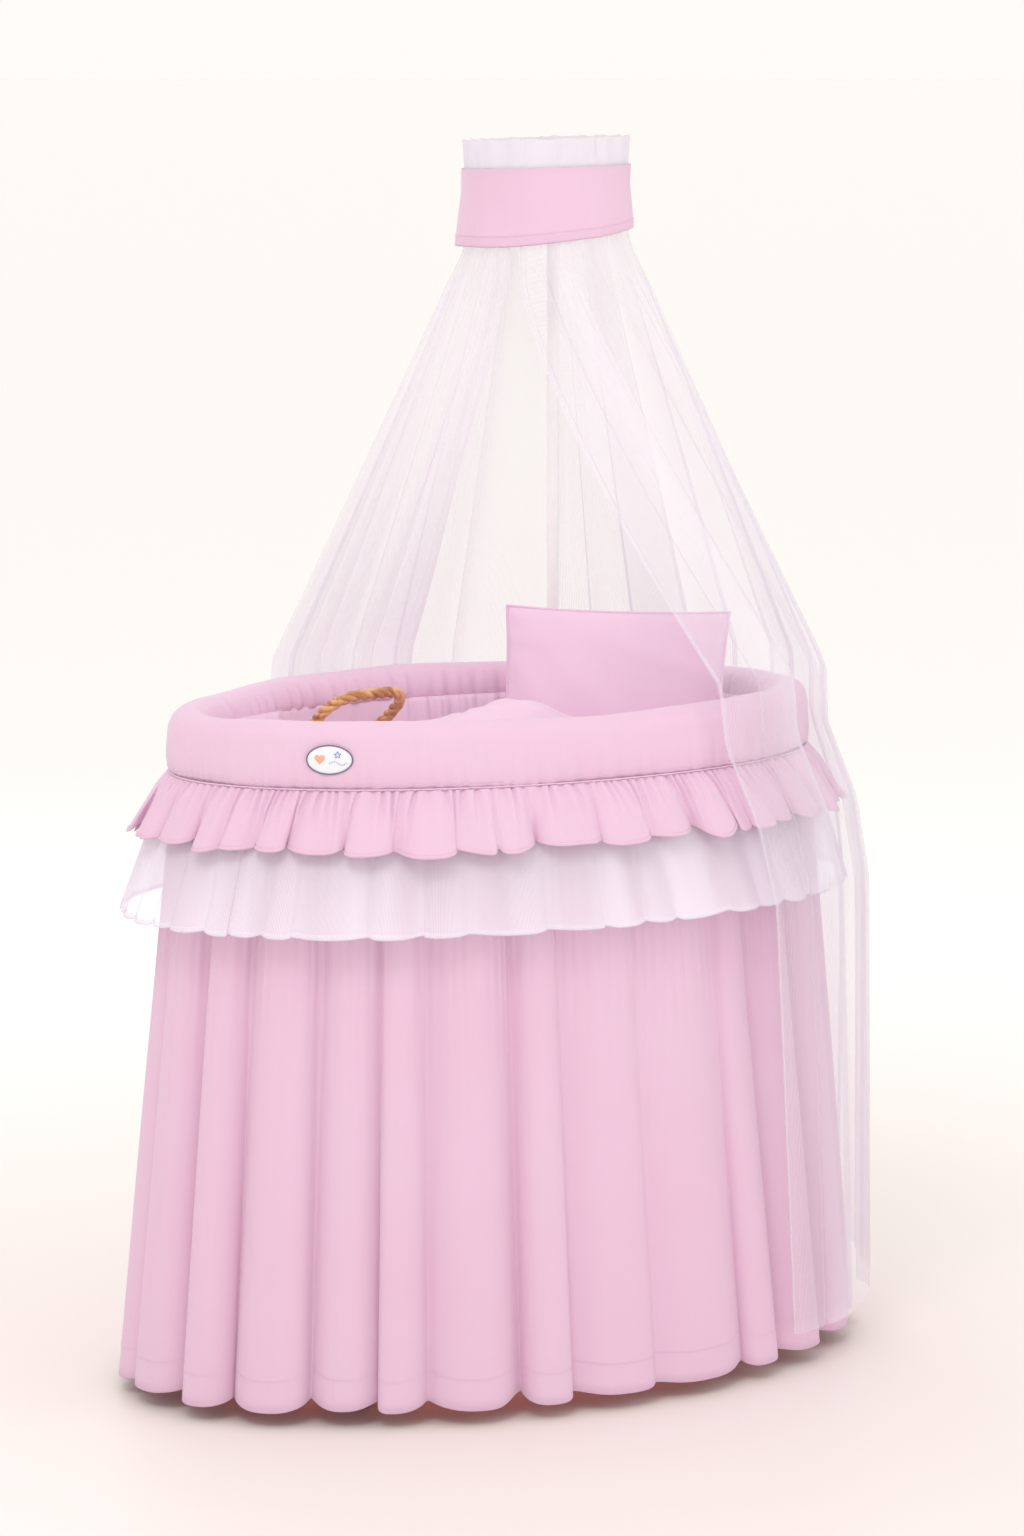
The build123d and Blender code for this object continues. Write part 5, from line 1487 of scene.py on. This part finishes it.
# ---- badge -----------------------------------------------------------------
def sew_badge():
    """An oval patch with a heart, a star and running stitches, all generic."""
    done = finishes()
    low, high = span("badge")
    centre = (low + high) / 2
    half_w, half_h = 0.027, 0.017       # half width and half height of the patch
    angle = math.atan2(centre[1] / RIM_B, centre[0] / RIM_A)

    def on_band(x, y, lift):
        """Point on the band: x along it from the badge's middle, y up."""
        speed = math.hypot(RIM_A * math.sin(angle), RIM_B * math.cos(angle))
        point, out = oval(RIM_A, RIM_B, np.array([angle + x / speed]))
        return np.array([*(point[0] + out[0] * (0.0022 + lift)), centre[2] + y])

    rings, spokes = 10, 96
    rows = []
    for k in range(rings + 1):
        share = k / rings
        lift = 0.0016 * math.sqrt(max(0.0, 1 - share ** 6)) + 0.0002
        rows.append([on_band(half_w * share * math.cos(TAU * i / spokes),
                             half_h * share * math.sin(TAU * i / spokes), lift)
                     for i in range(spokes)])
    points = np.array(rows[::-1])
    uv = (np.linspace(0, 0.14, spokes), np.linspace(0, 0.02, rings + 1))
    patch = grid_object("badge_patch", points, uv, done.patch, wrap=True)
    belong(patch, "basket", "badge_cloth", "badge")
    edge = [on_band(half_w * math.cos(TAU * i / 96), half_h * math.sin(TAU * i / 96), 0.0007)
            for i in range(96)]
    rim = strands("badge_edge", [edge], 0.0009, done.patch_edge, sides=6, closed=True)
    belong(rim, "basket", "badge_cloth")
    # filled heart
    outline = []
    for i in range(48):
        s = TAU * i / 48
        x = 16 * math.sin(s) ** 3
        y = 13 * math.cos(s) - 5 * math.cos(2 * s) - 2 * math.cos(3 * s) - math.cos(4 * s)
        outline.append((x * 0.00040 - 0.011, y * 0.00042 + 0.001))
    layers = []
    for scale, lift in ((1.0, 0.0016), (0.86, 0.0026), (0.5, 0.0031), (0.02, 0.0032)):
        layers.append([on_band(-0.011 + (x + 0.011) * scale, 0.001 + (y - 0.001) * scale, lift)
                       for x, y in outline])
    heart_points = np.array(layers)
    uv = (np.linspace(0, 0.04, 48), np.linspace(0, 0.008, 4))
    heart = grid_object("badge_heart", heart_points, uv, done.heart, wrap=True)
    belong(heart, "basket", "badge_cloth")
    wave = [on_band(0.001 + 0.019 * k / 30, 0.002 * math.sin(k / 30 * TAU) - 0.004, 0.0021)
            for k in range(31)]
    star = []
    for k in range(11):
        radius = 0.0042 if k % 2 == 0 else 0.0018
        turn = math.pi / 2 + k * TAU / 10
        star.append(on_band(0.010 + radius * math.cos(turn), 0.006 + radius * math.sin(turn),
                            0.0021))
    sewn = stitches("badge_running_stitches", [wave], 0.0027, 0.0018, 0.00038, done.blue)
    belong(sewn, "basket", "badge_cloth")
    star_line = strands("badge_star", [star], 0.00045, done.blue, sides=6)
    belong(star_line, "basket", "badge_cloth")


# ---- stage -----------------------------------------------------------------


FLOOR_RADIUS = 400.0


def set_stage(stage):
    """Pale floor with painted shade near the crib, even surround, three soft lamps, the glow under
    the skirt and the camera.
    """
    scene = bpy.context.scene
    size = FLOOR_RADIUS
    mesh = bpy.data.meshes.new("studio_floor")
    ring = [(size * math.cos(TAU * k / 96), size * math.sin(TAU * k / 96), -0.0005)
            for k in range(96)]
    mesh.from_pydata(ring, [], [list(range(96))])
    floor = link(bpy.data.objects.new("studio_floor", mesh))
    material = bpy.data.materials.new("studio_floor")
    material.use_nodes = True
    tree = material.node_tree
    shader = tree.nodes["Principled BSDF"]
    places = tree.nodes.new("ShaderNodeTexCoord")
    distance = tree.nodes.new("ShaderNodeVectorMath")
    distance.operation = "LENGTH"
    tree.links.new(places.outputs["Object"], distance.inputs[0])
    # painted shade: the floor is darker and warmer near the crib, fading to the pale far colour
    # between 0.6 and 3.2 m
    painted_shade_away = ramp(tree, distance.outputs["Value"], 0.6, 3.2)
    tree.links.new(mix_colour(tree, painted_shade_away, tuple(stage.floor_colour_with_painted_shade), (1.0, 0.985, 0.965)),
                   shader.inputs["Base Color"])
    shader.inputs["Roughness"].default_value = 0.5
    shader.inputs["Specular IOR Level"].default_value = 0.25
    mesh.materials.append(material)

    world = bpy.data.worlds.new("studio")
    world.use_nodes = True
    back = world.node_tree.nodes["Background"]
    back.inputs["Color"].default_value = (0.995, 0.970, 0.945, 1)
    back.inputs["Strength"].default_value = stage.surround
    scene.world = world
    for name, place, aim, reach, power, colour in (
            ("key", (-2.3, -2.6, 3.9), (0, 0, 0.6), 1.8, stage.key_power, (1, 0.985, 0.96)),
            ("fill", (3.2, -3.2, 1.8), (0, 0, 0.6), 2.4, stage.key_power * 0.45, (0.97, 0.98, 1)),
            ("back", (0.6, 3.6, 2.8), (0, 0, 0.8), 2.0, stage.key_power * 0.35, (1, 0.99, 0.98))):
        data = bpy.data.lights.new(name, "AREA")
        data.shape = "DISK"
        data.size = reach
        data.energy = power
        data.color = colour
        lamp = link(bpy.data.objects.new(name, data))
        lamp.location = place
        lamp.rotation_euler = (Vector(aim) - Vector(place)).to_track_quat("-Z", "Y").to_euler()

    # light that comes through the cotton skirt, on the floor under the crib
    glow = bpy.data.lights.new("skirt_glow", "AREA")
    glow.shape = "ELLIPSE"
    glow.size, glow.size_y = 0.80, 0.50
    glow.energy = stage.glow_power
    glow.color = (1.0, 0.30, 0.26)
    lamp = link(bpy.data.objects.new("skirt_glow", glow))
    lamp.location = (0, 0, 0.06)

    camera = bpy.data.cameras.new("camera")
    camera.lens = stage.lens
    camera.clip_end = 1000
    holder = link(bpy.data.objects.new("camera", camera))
    x = -stage.distance * VIEW_FAR[0] + stage.aside * VIEW_RIGHT[0]
    y = -stage.distance * VIEW_FAR[1] + stage.aside * VIEW_RIGHT[1]
    holder.location = (x, y, stage.eye_height)
    look = Vector((VIEW_FAR[0] * math.cos(stage.pitch), VIEW_FAR[1] * math.cos(stage.pitch),
                   -math.sin(stage.pitch)))
    holder.rotation_euler = look.to_track_quat("-Z", "Y").to_euler()
    scene.camera = holder
    scene.view_settings.view_transform = "Standard"
    scene.view_settings.exposure = stage.exposure


# ---- settings, operators, panel --------------------------------------------
class CRIB_cloths(PropertyGroup):
    pink: FloatVectorProperty(name="Pink cotton",
                              description="Colour of the skirt, rim and bedding",
                              subtype="COLOR", default=(0.80, 0.575, 0.725), min=0, max=1)
    white: FloatVectorProperty(name="White cotton", description="Colour of the duvet and mattress",
                               subtype="COLOR", default=(0.90, 0.88, 0.93), min=0, max=1)
    tulle: FloatVectorProperty(name="Tulle", description="Colour of the long ruffle and header",
                               subtype="COLOR", default=(0.93, 0.87, 0.98), min=0, max=1)
    voile: FloatVectorProperty(name="Voile", description="Colour of the canopy drape",
                               subtype="COLOR", default=(0.85, 0.80, 0.88), min=0, max=1)
    voile_cover: FloatProperty(name="Voile cover", description="How much a layer of voile hides",
                               default=0.20, min=0.1, max=0.8, subtype="FACTOR")
    skirt_fold_depth: FloatProperty(name="Skirt fold depth",
                                    description="Ridge to valley at the hem",
                                    default=0.036, min=0.0, max=0.06, unit="LENGTH")


class CRIB_woven(PropertyGroup):
    stakes: IntProperty(name="Stakes", description="Upright stakes round the basket", default=56,
                        min=24, max=90)
    round_pitch: FloatProperty(name="Round pitch", description="Height of one round of weaving",
                               default=0.0067, min=0.005, max=0.012, unit="LENGTH")
    twist_pitch: FloatProperty(name="Twist pitch",
                               description="Length of one turn of a handle's canes",
                               default=0.042, min=0.02, max=0.09, unit="LENGTH")


class CRIB_hard_parts(PropertyGroup):
    wood: FloatVectorProperty(name="Pine", description="Colour of the stand's wood",
                              subtype="COLOR", default=(0.76, 0.55, 0.32), min=0, max=1)


class CRIB_stage(PropertyGroup):
    # the floor's colour near the crib, with painted shade
    floor_colour_with_painted_shade: FloatVectorProperty(name="Floor", description="Colour of the studio floor",
                                      subtype="COLOR", default=(0.86, 0.80, 0.775), min=0, max=1)
    surround: FloatProperty(name="Surround", description="Strength of the white surround",
                            default=1.0, min=0, max=3)
    key_power: FloatProperty(name="Key light", description="Power of the main light",
                             default=48.0, min=0, max=2000, unit="POWER")
    glow_power: FloatProperty(name="Skirt glow", description="Light through the skirt on the floor",
                              default=0.30, min=0, max=10, unit="POWER")
    exposure: FloatProperty(name="Exposure", description="Brightness of the whole view", default=0.0,
                            min=-3, max=3)
    distance: FloatProperty(name="Distance", description="Camera to the crib's middle",
                            default=6.0, min=1, max=20, unit="LENGTH")
    aside: FloatProperty(name="Aside", description="Camera to the right of the crib's middle",
                         default=0.022, min=-1, max=1, unit="LENGTH")
    eye_height: FloatProperty(name="Eye height", description="Camera above the floor", default=1.61,
                              min=0, max=4, unit="LENGTH")
    pitch: FloatProperty(name="Pitch", description="Camera tilt down", default=math.radians(8.24),
                         min=-1.5, max=1.5, unit="ROTATION", subtype="ANGLE")
    lens: FloatProperty(name="Lens", description="Camera focal length in millimetres",
                        default=114.6, min=20, max=300)


class CRIB_OT_stand(Operator):
    """Give the stand, castors, pole and fittings their finishes"""
    bl_idname = "crib.stand"
    bl_label = "Stand and pole"

    def execute(self, context):
        finish_hard_parts()
        return {"FINISHED"}


class CRIB_OT_basket(Operator):
    """Weave the wicker wall, border and floor"""
    bl_idname = "crib.basket"
    bl_label = "Wicker basket"

    def execute(self, context):
        weave_basket(context.scene.crib_woven)
        return {"FINISHED"}


class CRIB_OT_handles(Operator):
    """Twist the two cane handles"""
    bl_idname = "crib.handles"
    bl_label = "Handles"

    def execute(self, context):
        twist_handles(context.scene.crib_woven)
        return {"FINISHED"}


class CRIB_OT_rim(Operator):
    """Make the padded rim with its piping and stitches"""
    bl_idname = "crib.rim"
    bl_label = "Padded rim"

    def execute(self, context):
        pad_rim()
        return {"FINISHED"}


class CRIB_OT_lining(Operator):
    """Make the gathered padded lining"""
    bl_idname = "crib.lining"
    bl_label = "Lining"

    def execute(self, context):
        gather_lining()
        return {"FINISHED"}


class CRIB_OT_skirt(Operator):
    """Hang the two ruffles and the long skirt"""
    bl_idname = "crib.skirt"
    bl_label = "Ruffles and skirt"

    def execute(self, context):
        dress_basket(context.scene.crib_cloths)
        return {"FINISHED"}


class CRIB_OT_bedding(Operator):
    """Make the mattress, duvet and pillow"""
    bl_idname = "crib.bedding"
    bl_label = "Bedding"

    def execute(self, context):
        make_bed()
        return {"FINISHED"}


class CRIB_OT_canopy(Operator):
    """Hang the voile drape, the sash and the header frill"""
    bl_idname = "crib.canopy"
    bl_label = "Canopy"

    def execute(self, context):
        hang_canopy()
        return {"FINISHED"}


class CRIB_OT_badge(Operator):
    """Sew the oval badge on the rim's band"""
    bl_idname = "crib.badge"
    bl_label = "Badge"

    def execute(self, context):
        sew_badge()
        return {"FINISHED"}


class CRIB_OT_studio(Operator):
    """Set the floor, lights and camera"""
    bl_idname = "crib.studio"
    bl_label = "Studio"

    def execute(self, context):
        set_stage(context.scene.crib_stage)
        return {"FINISHED"}


STEPS = (CRIB_OT_stand, CRIB_OT_basket, CRIB_OT_handles, CRIB_OT_rim, CRIB_OT_lining, CRIB_OT_skirt,
         CRIB_OT_bedding, CRIB_OT_canopy, CRIB_OT_badge, CRIB_OT_studio)


class CRIB_PT_panel(Panel):
    """Crib pieces in the sidebar"""
    bl_idname = "CRIB_PT_panel"
    bl_label = "Crib"
    bl_space_type = "VIEW_3D"
    bl_region_type = "UI"
    bl_category = "Crib"

    def draw(self, context):
        for settings in (context.scene.crib_cloths, context.scene.crib_woven,
                         context.scene.crib_hard_parts, context.scene.crib_stage):
            box = self.layout.box()
            for name in settings.__annotations__:
                box.prop(settings, name)
        for step in STEPS:
            self.layout.operator(step.bl_idname)


SETTINGS = {"crib_cloths": CRIB_cloths, "crib_woven": CRIB_woven,
            "crib_hard_parts": CRIB_hard_parts, "crib_stage": CRIB_stage}


def register():
    """Adds the settings, the operators and the panel."""
    for name, kind in SETTINGS.items():
        bpy.utils.register_class(kind)
        setattr(bpy.types.Scene, name, PointerProperty(type=kind))
    for step in STEPS:
        bpy.utils.register_class(step)
    bpy.utils.register_class(CRIB_PT_panel)


def unregister():
    """Takes them away again."""
    bpy.utils.unregister_class(CRIB_PT_panel)
    for step in reversed(STEPS):
        bpy.utils.unregister_class(step)
    for name, kind in SETTINGS.items():
        delattr(bpy.types.Scene, name)
        bpy.utils.unregister_class(kind)


def main():
    """Runs every step in order."""
    register()
    bpy.ops.crib.stand()
    bpy.ops.crib.basket()
    bpy.ops.crib.handles()
    bpy.ops.crib.rim()
    bpy.ops.crib.lining()
    bpy.ops.crib.skirt()
    bpy.ops.crib.bedding()
    bpy.ops.crib.canopy()
    bpy.ops.crib.badge()
    bpy.ops.crib.studio()


if __name__ == "__main__":
    main()
